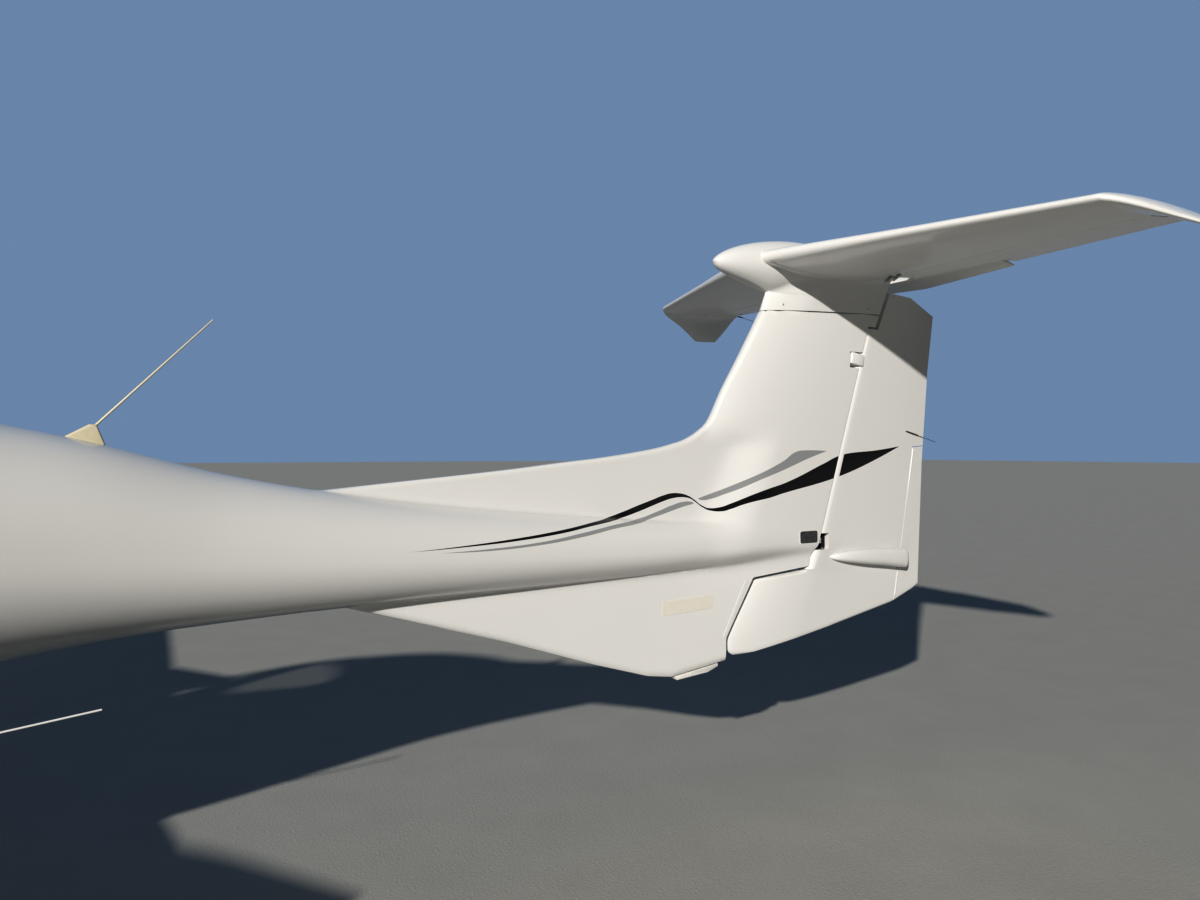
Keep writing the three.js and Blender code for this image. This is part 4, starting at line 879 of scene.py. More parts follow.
@look_of("tyre_rubber")
def tyre_rubber():
    """Dusty black rubber."""
    look = Look((0.02, 0.02, 0.021), 0.8)
    dust = look.noise(24.0, 6.0).step(0.4, 0.85)
    look.tint(dust * 0.5, (0.018, 0.018, 0.019), (0.09, 0.083, 0.073))
    look.feed("Roughness", 0.72 + dust * 0.22)
    look.bump(look.noise(300.0, 3.0), 0.0006)
    return look


@look_of("blade")
def blade_paint():
    """Pale grey blades with darker, sanded leading parts."""
    look = Look((0.62, 0.62, 0.6), 0.35, GLOSS)
    wear = look.noise(18.0, 6.0).step(0.5, 0.8)
    look.tint(wear * 0.5, (0.62, 0.62, 0.6), (0.42, 0.42, 0.41))
    look.feed("Roughness", 0.3 + wear * 0.25)
    return look


@look_of("black_plastic")
def black_plastic():
    """Matt black moulded plastic with a leathery grain."""
    look = Look((0.02, 0.02, 0.022), 0.5)
    grain = look.noise(600.0, 2.0)
    look.feed("Roughness", 0.42 + grain * 0.2)
    look.tint(look.noise(20.0, 5.0), (0.016, 0.016, 0.018), (0.035, 0.034, 0.034))
    look.bump(grain, 0.0005)
    return look


@look_of("cream")
def cream_paint():
    """Aged cream plastic of the aerial's foot and rod."""
    look = Look((0.66, 0.61, 0.46), 0.45)
    age = look.noise(60.0, 5.0)
    look.tint(age, (0.7, 0.65, 0.5), (0.58, 0.52, 0.37))
    look.feed("Roughness", 0.38 + age * 0.2)
    return look


@look_of("cream")
def beige_tape():
    """Sun-bleached beige tape."""
    look = Look((0.71, 0.69, 0.62), 0.6)
    age = look.noise(80.0, 5.0)
    look.tint(age, (0.75, 0.73, 0.67), (0.67, 0.63, 0.55))
    return look


@look_of("clear_panel")
def smoked_glass():
    """Dark glass of screens and of the inspection window."""
    look = Look((0.012, 0.013, 0.015), 0.08, {"Coat Weight": 1.0, "Coat Roughness": 0.03})
    haze = look.noise(45.0, 4.0)
    look.feed("Roughness", 0.06 + haze * 0.16)
    look.tint(haze, (0.01, 0.01, 0.012), (0.09, 0.092, 0.096))
    return look


@look_of("carpet")
def cabin_carpet():
    """Charcoal loop carpet."""
    look = Look((0.05, 0.052, 0.06), 0.95)
    pile = look.noise(700.0, 2.0)
    look.tint(pile, (0.028, 0.03, 0.035), (0.09, 0.092, 0.1))
    look.bump(pile, 0.002)
    return look


@look_of("seat_trim")
def seat_leather():
    """Grey leather with a fine crease and slight wear."""
    look = Look((0.12, 0.125, 0.135), 0.55)
    cells = look.node(
        "ShaderNodeTexVoronoi", {"feature": "DISTANCE_TO_EDGE"}, Vector=look.spot, Scale=260.0
    )
    wear = look.noise(12.0, 5.0).step(0.45, 0.8)
    look.tint(wear * 0.4, (0.1, 0.105, 0.115), (0.19, 0.19, 0.2))
    look.feed("Roughness", 0.5 + wear * 0.15)
    look.bump(cells.step(0.0, 0.12), 0.0006)
    return look


def lamp_look(colour):
    """Coloured lamp glass."""
    look = Look(colour, 0.08, {"Coat Weight": 1.0, "Coat Roughness": 0.02})
    ribs = look.noise(120.0, 2.0)
    look.tint(ribs, colour, tuple(c * 0.6 for c in colour))
    return look


@look_of("clear_panel")
def port_lens():
    return lamp_look((0.5, 0.01, 0.01))


@look_of("clear_panel")
def starboard_lens():
    return lamp_look((0.01, 0.32, 0.1))


def colour_of(name, text, default):
    return FloatVectorProperty(
        name=name, description=text, default=default, size=3, subtype="COLOR", min=0, max=1
    )


class AircraftColours(bpy.types.PropertyGroup):
    """Colours that a user would change."""

    gelcoat: colour_of("Gelcoat", "Colour of the airframe", (0.72, 0.716, 0.7))
    floor: colour_of("Floor", "Colour of the floor", (0.37, 0.36, 0.325))
    backdrop: colour_of("Backdrop", "Colour of the light around the aircraft", (0.45, 0.66, 1.0))


class AircraftSizes(bpy.types.PropertyGroup):
    """Sizes that a user would change."""

    lens: FloatProperty(
        name="Lens", description="Focal length of the camera, in millimetres", default=27.03,
        subtype="DISTANCE_CAMERA",
    )
    eye_height: FloatProperty(
        name="Eye height", description="Height of the camera", default=1.518, unit="LENGTH",
    )


CAMERA_X = 0.565
CAMERA_Y = -3.247
CAMERA_TURN = 28.6
CAMERA_TILT = 0.05
SUN_PATH = Vector((0.69, 0.62, -0.375))
FLOOR_REACH = 120.0
SUN_STRENGTH = 3.15
SUN_SPREAD = 1.2
SUN_COLOUR = (1.0, 0.965, 0.915)
DIM = 0.02
BRIGHT = 0.33


class AIRCRAFT_OT_stage(bpy.types.Operator):
    """Adds the floor, the light and the camera"""

    bl_idname = "aircraft.stage"
    bl_label = "Stage"

    def execute(self, context):
        scene = context.scene
        scene.view_settings.view_transform = "Standard"
        scene.view_settings.look = "High Contrast"
        camera = placed("camera", bpy.data.cameras.new("camera"))
        camera.data.lens = scene.aircraft_sizes.lens
        camera.data.sensor_width = 36
        camera.data.clip_end = 500
        camera.location = (CAMERA_X, CAMERA_Y, scene.aircraft_sizes.eye_height)
        camera.rotation_euler = (radians(90 + CAMERA_TILT), 0, radians(-CAMERA_TURN))
        scene.camera = camera
        sun = placed("sun", bpy.data.lights.new("sun", "SUN"))
        sun.data.energy = SUN_STRENGTH
        sun.data.angle = radians(SUN_SPREAD)
        sun.data.color = SUN_COLOUR
        sun.rotation_euler = SUN_PATH.to_track_quat("-Z", "Y").to_euler()
        world = bpy.data.worlds.new("backdrop")
        world.use_nodes = True
        self.light_backdrop(world.node_tree, scene.aircraft_colours.backdrop)
        scene.world = world
        bm = bmesh.new()
        bmesh.ops.create_grid(bm, x_segments=8, y_segments=8, size=FLOOR_REACH)
        floor = temporary(bm)
        floor.name = "floor"
        look = Look(scene.aircraft_colours.floor, 0.85, name="floor")
        grain = look.noise(3.0, 8.0)
        pale = tuple(c * 1.15 for c in scene.aircraft_colours.floor)
        look.tint(grain, scene.aircraft_colours.floor, pale)
        look.bump(look.noise(90.0, 4.0), 0.002)
        floor.data.materials.append(look.material)
        return {"FINISHED"}

    def light_backdrop(self, tree, colour):
        """A bright backdrop behind the aircraft that fades to a dim room on the camera's side."""
        background = tree.nodes["Background"]
        background.inputs["Color"].default_value = (*colour, 1)
        place = tree.nodes.new("ShaderNodeTexCoord")
        ahead = tree.nodes.new("ShaderNodeVectorMath")
        ahead.operation = "DOT_PRODUCT"
        turn = radians(CAMERA_TURN)
        ahead.inputs[1].default_value = (sin(turn), cos(turn), 0)
        fade = tree.nodes.new("ShaderNodeMapRange")
        fade.interpolation_type = "SMOOTHSTEP"
        for name, value in {"From Min": -0.1, "From Max": 0.7, "To Min": DIM, "To Max": BRIGHT}.items():
            fade.inputs[name].default_value = value
        tree.links.new(place.outputs["Generated"], ahead.inputs[0])
        tree.links.new(ahead.outputs["Value"], fade.inputs["Value"])
        tree.links.new(fade.outputs["Result"], background.inputs["Strength"])


def stationed(*points):
    """Points of a side view, from their distances behind the nose and their levels."""
    return [(NOSE_X + s, z) for s, z in points]


# Half width of the tools that cut right through the hull
WIDE = 1.5
CANOPY_OUTLINE = stationed((1.345, 1.33), (1.8, 1.262), (2.7, 1.262), (2.79, 2.2), (1.345, 2.2))
DOOR_OUTLINE = stationed((2.81, 1.262), (3.56, 1.262), (3.7, 1.4), (3.7, 2.2), (2.86, 2.2))
HATCH_OUTLINE = stationed((0.42, 0.96), (0.98, 0.96), (0.98, 1.5), (0.42, 1.5))
CANOPY_RIM = 0.075
CANOPY_RIM_CORNER = 0.09
DOOR_RIM = 0.08
DOOR_HINGE_Y = 0.07
HATCH_HINGE_Y = 0.12
CORNER = 0.05
WINDOW_CORNER = 0.07
GLASS_DEPTH = 0.002
GLASS_THICKNESS = 0.006


def canopy_shape(margin, radius=CORNER):
    return prism(shrunk(CANOPY_OUTLINE, margin), -WIDE, WIDE, radius)


def door_shape(margin, edge, radius=CORNER):
    return prism(shrunk(DOOR_OUTLINE, margin), -WIDE, -DOOR_HINGE_Y - edge, radius)


def window_shape(margin, sign):
    start, end = sorted((sign * (DOOR_HINGE_Y + DOOR_RIM + margin), sign * WIDE))
    return prism(shrunk(DOOR_OUTLINE, DOOR_RIM + margin), start, end, WINDOW_CORNER)


def hatch_shape(margin):
    return prism(shrunk(HATCH_OUTLINE, margin), HATCH_HINGE_Y + margin, WIDE, 0.02)


def hull_length(places, inner_places, outer=0.0, inner=WALL):
    """A hollow length of the hull: an outer skin, and an inner one that shows the cabin's trim."""
    outside = skin([section_ring(x, inset=outer) for x in places])
    return joined(outside, skin([section_ring(x, inset=inner) for x in inner_places], True))


def cabin_layer(outer, inner, step=0.04):
    """The hull's skin around the cabin, between two depths under its surface."""
    start, end = NOSE_X + 1.1, NOSE_X + 4.0
    return hull_length(
        stations(start, (end, step)), stations(start + 0.02, (end - 0.02, step)), outer, inner
    )


class AIRCRAFT_OT_fuselage(bpy.types.Operator):
    """Adds the nose, the cabin's shell and the tail boom with its fins"""

    bl_idname = "aircraft.fuselage"
    bl_label = "Fuselage"

    def execute(self, context):
        both = (striped_gelcoat, cabin_trim)
        front = NOSE_X + NOSE_JOINT
        rear = NOSE_X + BOOM_JOINT
        places = stations(
            NOSE_X, (NOSE_X + 0.008, 0.002), (NOSE_X + 0.05, 0.006), (NOSE_X + 0.4, 0.02), (front, 0.04)
        )
        nose = hull_length(places, stations(NOSE_X + 0.13, (front - 0.01, 0.04)))
        bay = block((NOSE_X + 0.88, -0.115, 0.4), (NOSE_X + 1.27, 0.115, 0.72))
        nose = combine(nose, [hatch_shape(0), mirrored(hatch_shape(0)), bay])
        finished("nose_shell", nose, both, nodes=["fuselage_nose"])
        cabin = hull_length(stations(front, (rear, 0.04)), stations(front + 0.02, (rear - 0.18, 0.04)))
        cabin = combine(cabin, [canopy_shape(0), door_shape(0, 0), window_shape(0, 1)])
        finished("cabin_shell", cabin, both, nodes=["fuselage_cabin"])
        places = stations(rear, (1.1, 0.05), (1.3, 0.02), (2.5, 0.04), (4.05, 0.016))
        boom = skin([section_ring(x, 110) for x in places])
        boom = combine(boom, [*cove_cutters(), prism(HORN_SLOT, -0.5, 0.5, 0.01), upper_hinge_notch()])
        finished("tail_boom_skin", boom, striped_gelcoat, nodes=["tail_boom"])
        return {"FINISHED"}


def hinge_set(name, start, end, radius, eye, body):
    """A pin on the moving piece and the two eyes that hold it."""
    start, end = Vector(start), Vector(end)
    way = (end - start).normalized()
    finished(f"{name}_pin", eased(bar(start, end, radius), 0.002), bare_steel, body)
    ends = [(start - way * eye, start - way * SET_APART), (end + way * SET_APART, end + way * eye)]
    eyes = [eased(bar(a, b, radius * 1.05), 0.003) for a, b in ends]
    finished(f"{name}_eyes", joined(*eyes), bare_steel)


class AIRCRAFT_OT_canopy(bpy.types.Operator):
    """Adds the canopy, the rear door, the windows and the nose hatches"""

    bl_idname = "aircraft.canopy"
    bl_label = "Canopy, door and hatches"

    def execute(self, context):
        both = (plain_gelcoat, cabin_trim)
        frame_shape = combine(cabin_layer(0.0, WALL), [canopy_shape(SEAM)], "INTERSECT")
        frame_shape = combine(frame_shape, [canopy_shape(CANOPY_RIM, CANOPY_RIM_CORNER)])
        finished("canopy_rim", frame_shape, both, "canopy", ["canopy_frame"])
        door = combine(cabin_layer(0.0, WALL), [door_shape(SEAM, SEAM)], "INTERSECT")
        door = combine(door, [window_shape(0, -1)])
        finished("rear_door_panel", door, both, "cabin_door", ["rear_door"])
        depths = (GLASS_DEPTH, GLASS_DEPTH + GLASS_THICKNESS)
        bubble = canopy_shape(CANOPY_RIM + SET_APART, CANOPY_RIM_CORNER)
        panes = (
            ("canopy_bubble", bubble, "canopy", "canopy_glass"),
            ("rear_door_pane", window_shape(SET_APART, -1), "cabin_door", "rear_door_glass"),
            ("rear_window_pane", window_shape(SET_APART, 1), "airframe", "rear_window_right"),
        )
        for name, shape, body, node in panes:
            pane = combine(cabin_layer(*depths, 0.06), [shape], "INTERSECT")
            for face in pane.faces:
                face.material_index = 0
            finished(name, pane, clear_acrylic, body, [node])
        nose_places = stations(NOSE_X + 0.3, (NOSE_X + 1.1, 0.04))
        hatch = hull_length(nose_places, nose_places[1:-1])
        hatch = combine(hatch, [hatch_shape(SEAM)], "INTERSECT")
        latch = block((NOSE_X + 0.68, 0.0, 0.985), (NOSE_X + 0.74, 0.02, 1.0), 0.004)
        latch = moved(latch, 0, hull_half(NOSE_X + 0.71, 0.992) - 0.017, 0)
        for side, sign in SIDES.items():
            body = f"hatch_{side}"
            finished(f"hatch_panel_{side}", on_side(hatch, sign), both, body, [f"nose_{body}"])
            ends = [(NOSE_X + s, sign * 0.123, 1.134 + 0.2646 * (s - 0.426)) for s in (0.6, 0.72)]
            hinge_set(f"hatch_hinge_{side}", *ends, 0.007, 0.035, body)
            finished(f"hatch_latch_{side}", on_side(latch, sign), bare_steel, body)
        hinge_set("canopy_hinge", (-2.93, -0.09, 1.376), (-2.93, 0.09, 1.376), 0.012, 0.04, "canopy")
        ends = [(x, -0.073, 1.937 - 0.07 * (x + 0.98)) for x in (-1.04, -0.94)]
        hinge_set("door_hinge", *ends, 0.012, 0.04, "cabin_door")
        return {"FINISHED"}


def rudder_axis(z):
    """The rudder's hinge line at a level."""
    x, _, foot = joints["rudder_hinge"]["pos_m"]
    along_x, _, along_z = joints["rudder_hinge"]["axis"]
    return x + along_x / along_z * (z - foot)


LIP_BACK = 0.3
COVE_GAP = 0.008


def rudder_nose(z):
    """Radius of the rudder's nose at a level."""
    foot = FIN_FOOT[1]
    radius = fin_half(rudder_axis(max(z, foot)), max(z, foot)) + 0.001
    return np.interp(z, [0.6, 0.95, foot], [0.034, 0.05, radius]) if z < foot else radius


def cove(radius, height, reach):
    """Outline of the space around a hinged nose: a round cove ahead of the hinge, open behind."""
    gap_radius = radius + COVE_GAP
    back = LIP_BACK * radius + 0.006
    first = acos(-back / gap_radius)
    turns = np.linspace(first, 2 * pi - first, 19)
    arc = [(gap_radius * cos(t), gap_radius * sin(t)) for t in turns]
    return [(reach, height), (-back, height), *arc, (-back, -height), (reach, -height)]


STEP_Z = 2.118


def cap_rear(z):
    """Rear edge of the fin's cap, which reaches over the rudder's shoulder."""
    return 3.84 + 0.45 * (z - STEP_Z)


def cove_cutters():
    """The space behind the fin: round the rudder's nose, and behind the cap above its shoulder."""
    rings = []
    for z in np.linspace(0.94, STEP_Z, 24):
        rings.append(ring([(rudder_axis(z) + u, v, z) for u, v in cove(rudder_nose(z), 0.4, 0.9)]))
    edge = [(cap_rear(z), z) for z in (STEP_Z - 0.004, 2.6)]
    return [skin(rings), prism([*edge, (4.9, 2.6), (4.9, STEP_Z - 0.004)], -0.4, 0.4)]


HORN_SLOT = (
    (2.953, 0.3), (2.953, 0.692), (3.094, 0.952), (3.468, 0.991), (3.62, 1.03), (4.7, 1.03), (4.7, 0.3),
)
RUDDER_FOOT = (
    (2.9, 0.604), (3.107, 0.609), (3.296, 0.64), (3.544, 0.683), (3.985, 0.768), (4.15, 0.831),
    (4.168, 0.843), (4.3, 0.93),
)
RUDDER_TOP = ((3.8, 2.297), (3.967, 2.297), (4.105, 2.288), (4.28, 2.208), (4.4, 2.15))
HORN_TOP = ((3.0, 0.931), (3.46, 0.975), (4.4, 0.975))
HORN_FOOT_ROUND = 0.065
RUDDER_TAIL_HALF = 0.003
RUDDER_TAB_TOP = 1.54
TAB_GAP = 0.007
UPPER_HINGE_Z = 1.957
UPPER_HINGE_TILT = 9
LOWER_HINGE_Z = 1.11
LOWER_HINGE_NOTCH = (LOWER_HINGE_Z - 0.052, LOWER_HINGE_Z + 0.024)


def rudder_tab_lead(z):
    return 3.982 + 0.18 * (z - 0.778)


def horn_front(z):
    """Leading edge of the rudder's horn, with its rounded lower corner."""
    corner = HORN_FOOT_ROUND - np.clip(z - 0.604, 0, HORN_FOOT_ROUND)
    rounded = HORN_FOOT_ROUND - sqrt(HORN_FOOT_ROUND**2 - corner**2)
    return max(2.966, 2.964 + 0.548 * (z - 0.692)) + rounded


def rudder_half(x, z):
    """Half thickness of the rudder behind its axis."""
    axis, trail = rudder_axis(z), straight(RUDDER_TRAIL, z)
    share = np.clip((x - axis) / (trail - axis), 0, 1)
    return RUDDER_TAIL_HALF + (rudder_nose(z) - RUDDER_TAIL_HALF) * (1 - share) * (1 + 0.25 * share)


def rudder_ring(low, high, share, has_horn):
    """A section of the rudder at a share of the way between a lower and an upper line."""
    def level(x):
        return straight(low, x) + share * (straight(high, x) - straight(low, x))

    def edge_share(x, z):
        foot, top = straight(RUDDER_FOOT, x), straight(RUDDER_TOP, x)
        edge = rounding((z - foot) * 0.98, 0.012) * rounding(top - z, 0.006)
        return edge * rounding(straight(HORN_TOP, x) - z, 0.014) if has_horn and x < axis - 0.06 else edge

    axis, trail = 3.5, 4.1
    for _ in range(8):
        axis = rudder_axis(level(axis))
        trail = straight(RUDDER_TRAIL, level(trail))
    nose = rudder_nose(level(axis))
    front = axis - nose
    if has_horn:
        front = horn_front(level(3.0))
        front = horn_front(level(front))
    side = []
    for turn in np.linspace(0, pi / 2, 22):
        x = axis - (axis - front) * cos(turn)
        side.append((x, nose * sin(turn) * edge_share(x, level(x)), level(x)))
    for t in np.linspace(0, 1, 22)[1:]:
        x = axis + t * (trail - axis)
        side.append((x, rudder_half(x, level(x)) * edge_share(x, level(x)), level(x)))
    return ring([*side, *[(x, -y, z) for x, y, z in side[::-1]]])


def rudder_shape():
    """The whole rudder with its horn, before its tab is cut out."""
    lower = [0, 0.004, 0.012, 0.025, 0.045, *np.linspace(0.08, 0.94, 24), 0.955, 0.97, 0.982, 0.992, 1]
    upper = [0.0, *np.linspace(0.008, 0.99, 64), 0.9955, 0.998, 0.9995, 1]
    rows = [rudder_ring(RUDDER_FOOT, HORN_TOP, share, True) for share in lower]
    rows += [rudder_ring(HORN_TOP, RUDDER_TOP, share, False) for share in upper]
    return skin(rows)


def rudder_tab_shape(margin, drop):
    top, foot = RUDDER_TAB_TOP, 0.812
    return prism([
        (rudder_tab_lead(foot) + margin, foot - 0.3), (rudder_tab_lead(foot) + margin, foot),
        (rudder_tab_lead(top) + margin, top - drop), (4.5, top + 0.025 - drop), (4.5, foot - 0.3),
    ], -WIDE, WIDE)


def upper_hinge_notch():
    """Opening in the fin's trailing edge around the upper hinge."""
    z = UPPER_HINGE_Z
    return block((3.664, -0.2, z - 0.042), (3.9, 0.2, z + 0.034), 0.004)


# Trim actuator's fairing on the port side of the rudder: x, top, bottom, how far out it stands
POD_ROWS = (
    (3.535, 1.021, 1.018, 0.0), (3.54, 1.025, 1.014, 0.006), (3.552, 1.03, 1.008, 0.014),
    (3.58, 1.037, 1.001, 0.026), (3.64, 1.044, 0.991, 0.039), (3.75, 1.048, 0.976, 0.05),
    (3.9, 1.042, 0.958, 0.055), (4.0, 1.036, 0.944, 0.056), (4.04, 1.031, 0.941, 0.054),
)
POD_END = 4.04
POD_POWER = 2.5
TAB_SWING = tan(radians(20))


def pod_length(start, end, inset=0.0):
    """A length of the trim actuator's fairing, whose rear end stands clear of the tab's swing."""
    rows = []
    for x in stations(start, (end, 0.008)):
        top, bottom, out = row_at(POD_ROWS, x)
        middle, height = (top + bottom) / 2, max((top - bottom) / 2 - inset, 0.0008)
        surface = rudder_half(x, middle)
        tab_edge = rudder_tab_lead(middle)
        inner = surface - 0.006 if x < tab_edge - 0.004 else surface + 0.006 + TAB_SWING * (x - tab_edge)
        outer = max(surface + out - inset, inner + 0.001)
        place = (x, -(outer + inner) / 2, middle)
        rows.append(oval(place, (outer - inner) / 2, height, height, 40, POD_POWER))
    return eased(skin(rows), 0.002, 2, 60)


class AIRCRAFT_OT_rudder(bpy.types.Operator):
    """Adds the rudder, its trim tab, its hinges and what is fixed to them"""

    bl_idname = "aircraft.rudder"
    bl_label = "Rudder"

    def execute(self, context):
        low, high = LOWER_HINGE_NOTCH
        notch = block((3.3, -0.2, low), (3.52, 0.2, high), 0.006)
        shoulder = prism(
            [(3.5, 2.108), (3.859, 2.108), (3.951, 2.308), (3.951, 2.5), (3.5, 2.5)], -0.3, 0.3,
        )
        whole = rudder_shape()
        tab = combine(whole.copy(), [rudder_tab_shape(TAB_GAP, 0.004)], "INTERSECT")
        blade = combine(whole, [rudder_tab_shape(0, 0), notch, shoulder])
        finished("rudder_blade", blade, rudder_gelcoat, "rudder", ["rudder"])
        beads = []
        for sign in SIDES.values():
            ends = []
            for z in (0.8, RUDDER_TAB_TOP - 0.012):
                x = rudder_tab_lead(z) + TAB_GAP + 0.005
                ends.append((x, sign * (rudder_half(x, z) - 0.001), z))
            beads.append(eased(bar(*ends, 0.0045, segments=12), 0.002))
        finished("rudder_tab_skin", tab, plain_gelcoat, "rudder_trim", ["rudder_tab"])
        finished("rudder_tab_beads", joined(*beads), plain_gelcoat, "rudder_trim")
        finished("trim_fairing", pod_length(POD_ROWS[0][0], POD_END - 0.008), plain_gelcoat, "rudder")
        plug = pod_length(POD_END - 0.012, POD_END, 0.004)
        finished("trim_fairing_plug", plug, black_plastic, "rudder")
        self.add_hinges()
        self.add_window()
        add_wick("rudder_wick", (4.07, -0.014, 1.616), (4.292, -0.007, 1.567), "rudder")
        return {"FINISHED"}

    def add_hinges(self):
        """Adds the cover of the upper hinge and the bracket of the lower one, with black pieces in the
        lower notch as painted shade.
        """
        z = UPPER_HINGE_Z
        half = rudder_nose(z)
        cover = block(
            (3.672, -half - 0.009, z - 0.028), (rudder_axis(z) - 0.012, half + 0.009, z + 0.028), 0.006
        )
        cover = rotated(cover, radians(UPPER_HINGE_TILT), centre=(3.71, 0, z))
        finished("upper_hinge_cover", cover, plain_gelcoat)
        z = LOWER_HINGE_Z - 0.012
        axis = rudder_axis(z)
        lug = block((axis - 0.08, -0.034, z - 0.014), (axis + 0.012, 0.034, z + 0.014), 0.004)
        # A seat for the lower hinge in black plastic, sized to fill the notch: partly a real part, partly
        # painted shade of the opening.
        plate = block((axis - 0.055, -0.032, z - 0.028), (axis - 0.014, 0.032, z + 0.024), 0.003)
        finished("lower_hinge_seat_and_painted_shade", plate, black_plastic)
        finished("lower_hinge_bracket", lug, polished_alloy, slot="steel")
        bolts = [bar((axis, 0, z - 0.034), (axis, 0, z + 0.03), 0.009)]
        for y in (-0.024, 0.024):
            for rise in (-0.018, 0.018):
                bolts.append(bar((axis - 0.036, y, z + rise), (axis - 0.004, y, z + rise), 0.006))
        bolts = joined(*[eased(bolt, 0.001) for bolt in bolts])
        finished("lower_hinge_bolts", bolts, bare_steel)
        low, high = LOWER_HINGE_NOTCH
        # Black hollow block lining the back, top and bottom of the rudder's lower notch: painted shade that
        # makes the opening dark.
        lining = block((3.474, -0.034, low - 0.0005), (3.5215, 0.034, high + 0.0005))
        lining = combine(lining, [block((3.4, -0.3, low + 0.0015), (3.5185, 0.3, high - 0.0015))])
        finished("lower_hinge_shade_lining", lining, black_plastic, "rudder")

    def add_window(self):
        """Adds the small inspection window on each side of the fin's foot."""
        rim = side_pad([(3.332, 1.088), (3.451, 1.088), (3.451, 1.155), (3.332, 1.155)], 0.0012, 0.014)
        pair("inspection_rim", rim, plain_gelcoat)
        pane = side_pad([(3.338, 1.094), (3.445, 1.094), (3.445, 1.149), (3.338, 1.149)], 0.002, 0.01)
        pair("inspection_window", pane, smoked_glass)


def side_pad(outline, proud, radius, thickness=0.004):
    """A thin rounded plate that follows the tail boom's starboard side."""
    plate = prism(outline, 0, thickness, radius)
    bmesh.ops.subdivide_edges(plate, edges=plate.edges, cuts=3, use_grid_fill=True)
    for vert in plate.verts:
        x, outward, z = vert.co
        vert.co.y = section_half(x, z) + proud - thickness + outward
    bmesh.ops.recalc_face_normals(plate, faces=plate.faces)
    return plate


def add_wick(name, foot, tip, body="airframe"):
    """A static wick: a tapered foot and a thin, slightly drooping wire."""
    foot, tip = Vector(foot), Vector(tip)
    base = foot.lerp(tip, 0.42)
    droop = Vector((0, 0, -0.004))
    wire = [base, foot.lerp(tip, 0.7) + droop / 2, tip + droop]
    shape = joined(eased(bar(foot, base, 0.0055, 0.0035, 14), 0.001), tube(wire, 0.0013, 8))
    finished(name, shape, black_plastic, body)


STABILISER_Z = 2.382
ELEVATOR_X = 3.845
ELEVATOR_HALF = 1.362
# Stabiliser: distance from the middle, leading edge, trailing edge, level, thickness as a share of chord
STABILISER_ROWS = (
    (0.0, 3.085, 4.24, 2.382, 0.08), (0.7, 3.305, 4.165, 2.382, 0.088), (1.37, 3.515, 4.092, 2.382, 0.1),
)
TIP_ROWS = (
    (1.3, 3.493, 4.1, 2.382, 0.099), (1.37, 3.515, 4.092, 2.381, 0.1), (1.44, 3.585, 4.094, 2.357, 0.094),
    (1.51, 3.72, 4.098, 2.316, 0.085), (1.58, 3.84, 4.1, 2.275, 0.077), (1.645, 3.94, 4.1, 2.24, 0.07),
)
ROOT_DIP = 0.022


def stabiliser_row(y):
    """Leading edge, trailing edge, level and thickness of the stabiliser at a distance from the middle."""
    y = abs(y)
    if y < TIP_ROWS[1][0]:
        return row_at(STABILISER_ROWS, y, straight)
    return row_at(TIP_ROWS, y)


def stabiliser_ring(y):
    """A section of the stabiliser; near the root its lower side swells into the fairing."""
    lead, trail, z, ratio = stabiliser_row(y)
    chord = trail - lead
    dip = ROOT_DIP * (1 - ease(abs(y), 0.1, 0.55))
    shares = closing(34)
    nose = 0.2 + 0.15 * (1 - ease(abs(y), 0.1, 1.2)) + 0.55 * (1 - ease(abs(y), 0.1, 0.8))
    blunt = 1 + nose * np.exp(-shares / 0.04)
    halves = np.maximum(chord * blunt * aerofoil_half(shares, ratio), 0.002 * np.minimum(shares * 30, 1))
    swell = dip * np.sin(pi * np.clip(shares / 0.68, 0, 1))
    return ring([
        (x, y, level) for x, level in aerofoil_outline(lead, chord, shares, z + halves, z - halves - swell)
    ])


def elevator_nose(y):
    """Half thickness of the elevator at its hinge."""
    lead, trail, _, ratio = stabiliser_row(min(abs(y), ELEVATOR_HALF))
    return (trail - lead) * aerofoil_half((ELEVATOR_X - lead) / (trail - lead), ratio)


def elevator_ring(y):
    """A section of the elevator: a round nose about the hinge, then the stabiliser's own surfaces."""
    lead, trail, z, ratio = stabiliser_row(y)
    chord = trail - lead
    first = (ELEVATOR_X - lead) / chord
    line = hinged_outline(
        ELEVATOR_X, z, elevator_nose(y), lead, chord, first, lambda shares: z, ratio, 0.0025
    )
    return ring([(x, y, level) for x, level in line])


BULLET_FRONT = 2.905
BULLET_MIDDLE = 2.357
# Bullet fairing: x, top and half width before the tip is rounded, and bottom
BULLET_ROWS = (
    (2.905, 2.487, 0.088, 2.3565), (2.918, 2.487, 0.088, 2.334), (2.951, 2.487, 0.088, 2.315),
    (3.022, 2.487, 0.088, 2.291), (3.107, 2.487, 0.088, 2.267), (3.198, 2.487, 0.088, 2.243),
    (3.3, 2.487, 0.088, 2.236), (3.45, 2.485, 0.086, 2.242), (3.6, 2.473, 0.079, 2.258),
    (3.79, 2.438, 0.062, 2.288), (3.93, 2.41, 0.045, 2.322),
)
FLARE = 0.2
CAP_TOP = 2.36
CAP_END = 3.99


def bullet_size(x):
    """Top, half width, bottom of the bullet fairing at x, and the power of its lower half."""
    top, half, bottom = row_at(BULLET_ROWS, x)
    share = max(x - BULLET_FRONT, 0)
    top = BULLET_MIDDLE + (top - BULLET_MIDDLE) * rounding(share, 0.5) ** 1.3
    return top, half * rounding(share, 0.38), bottom, 2 - 0.7 * ease(x, 3.05, 3.4)


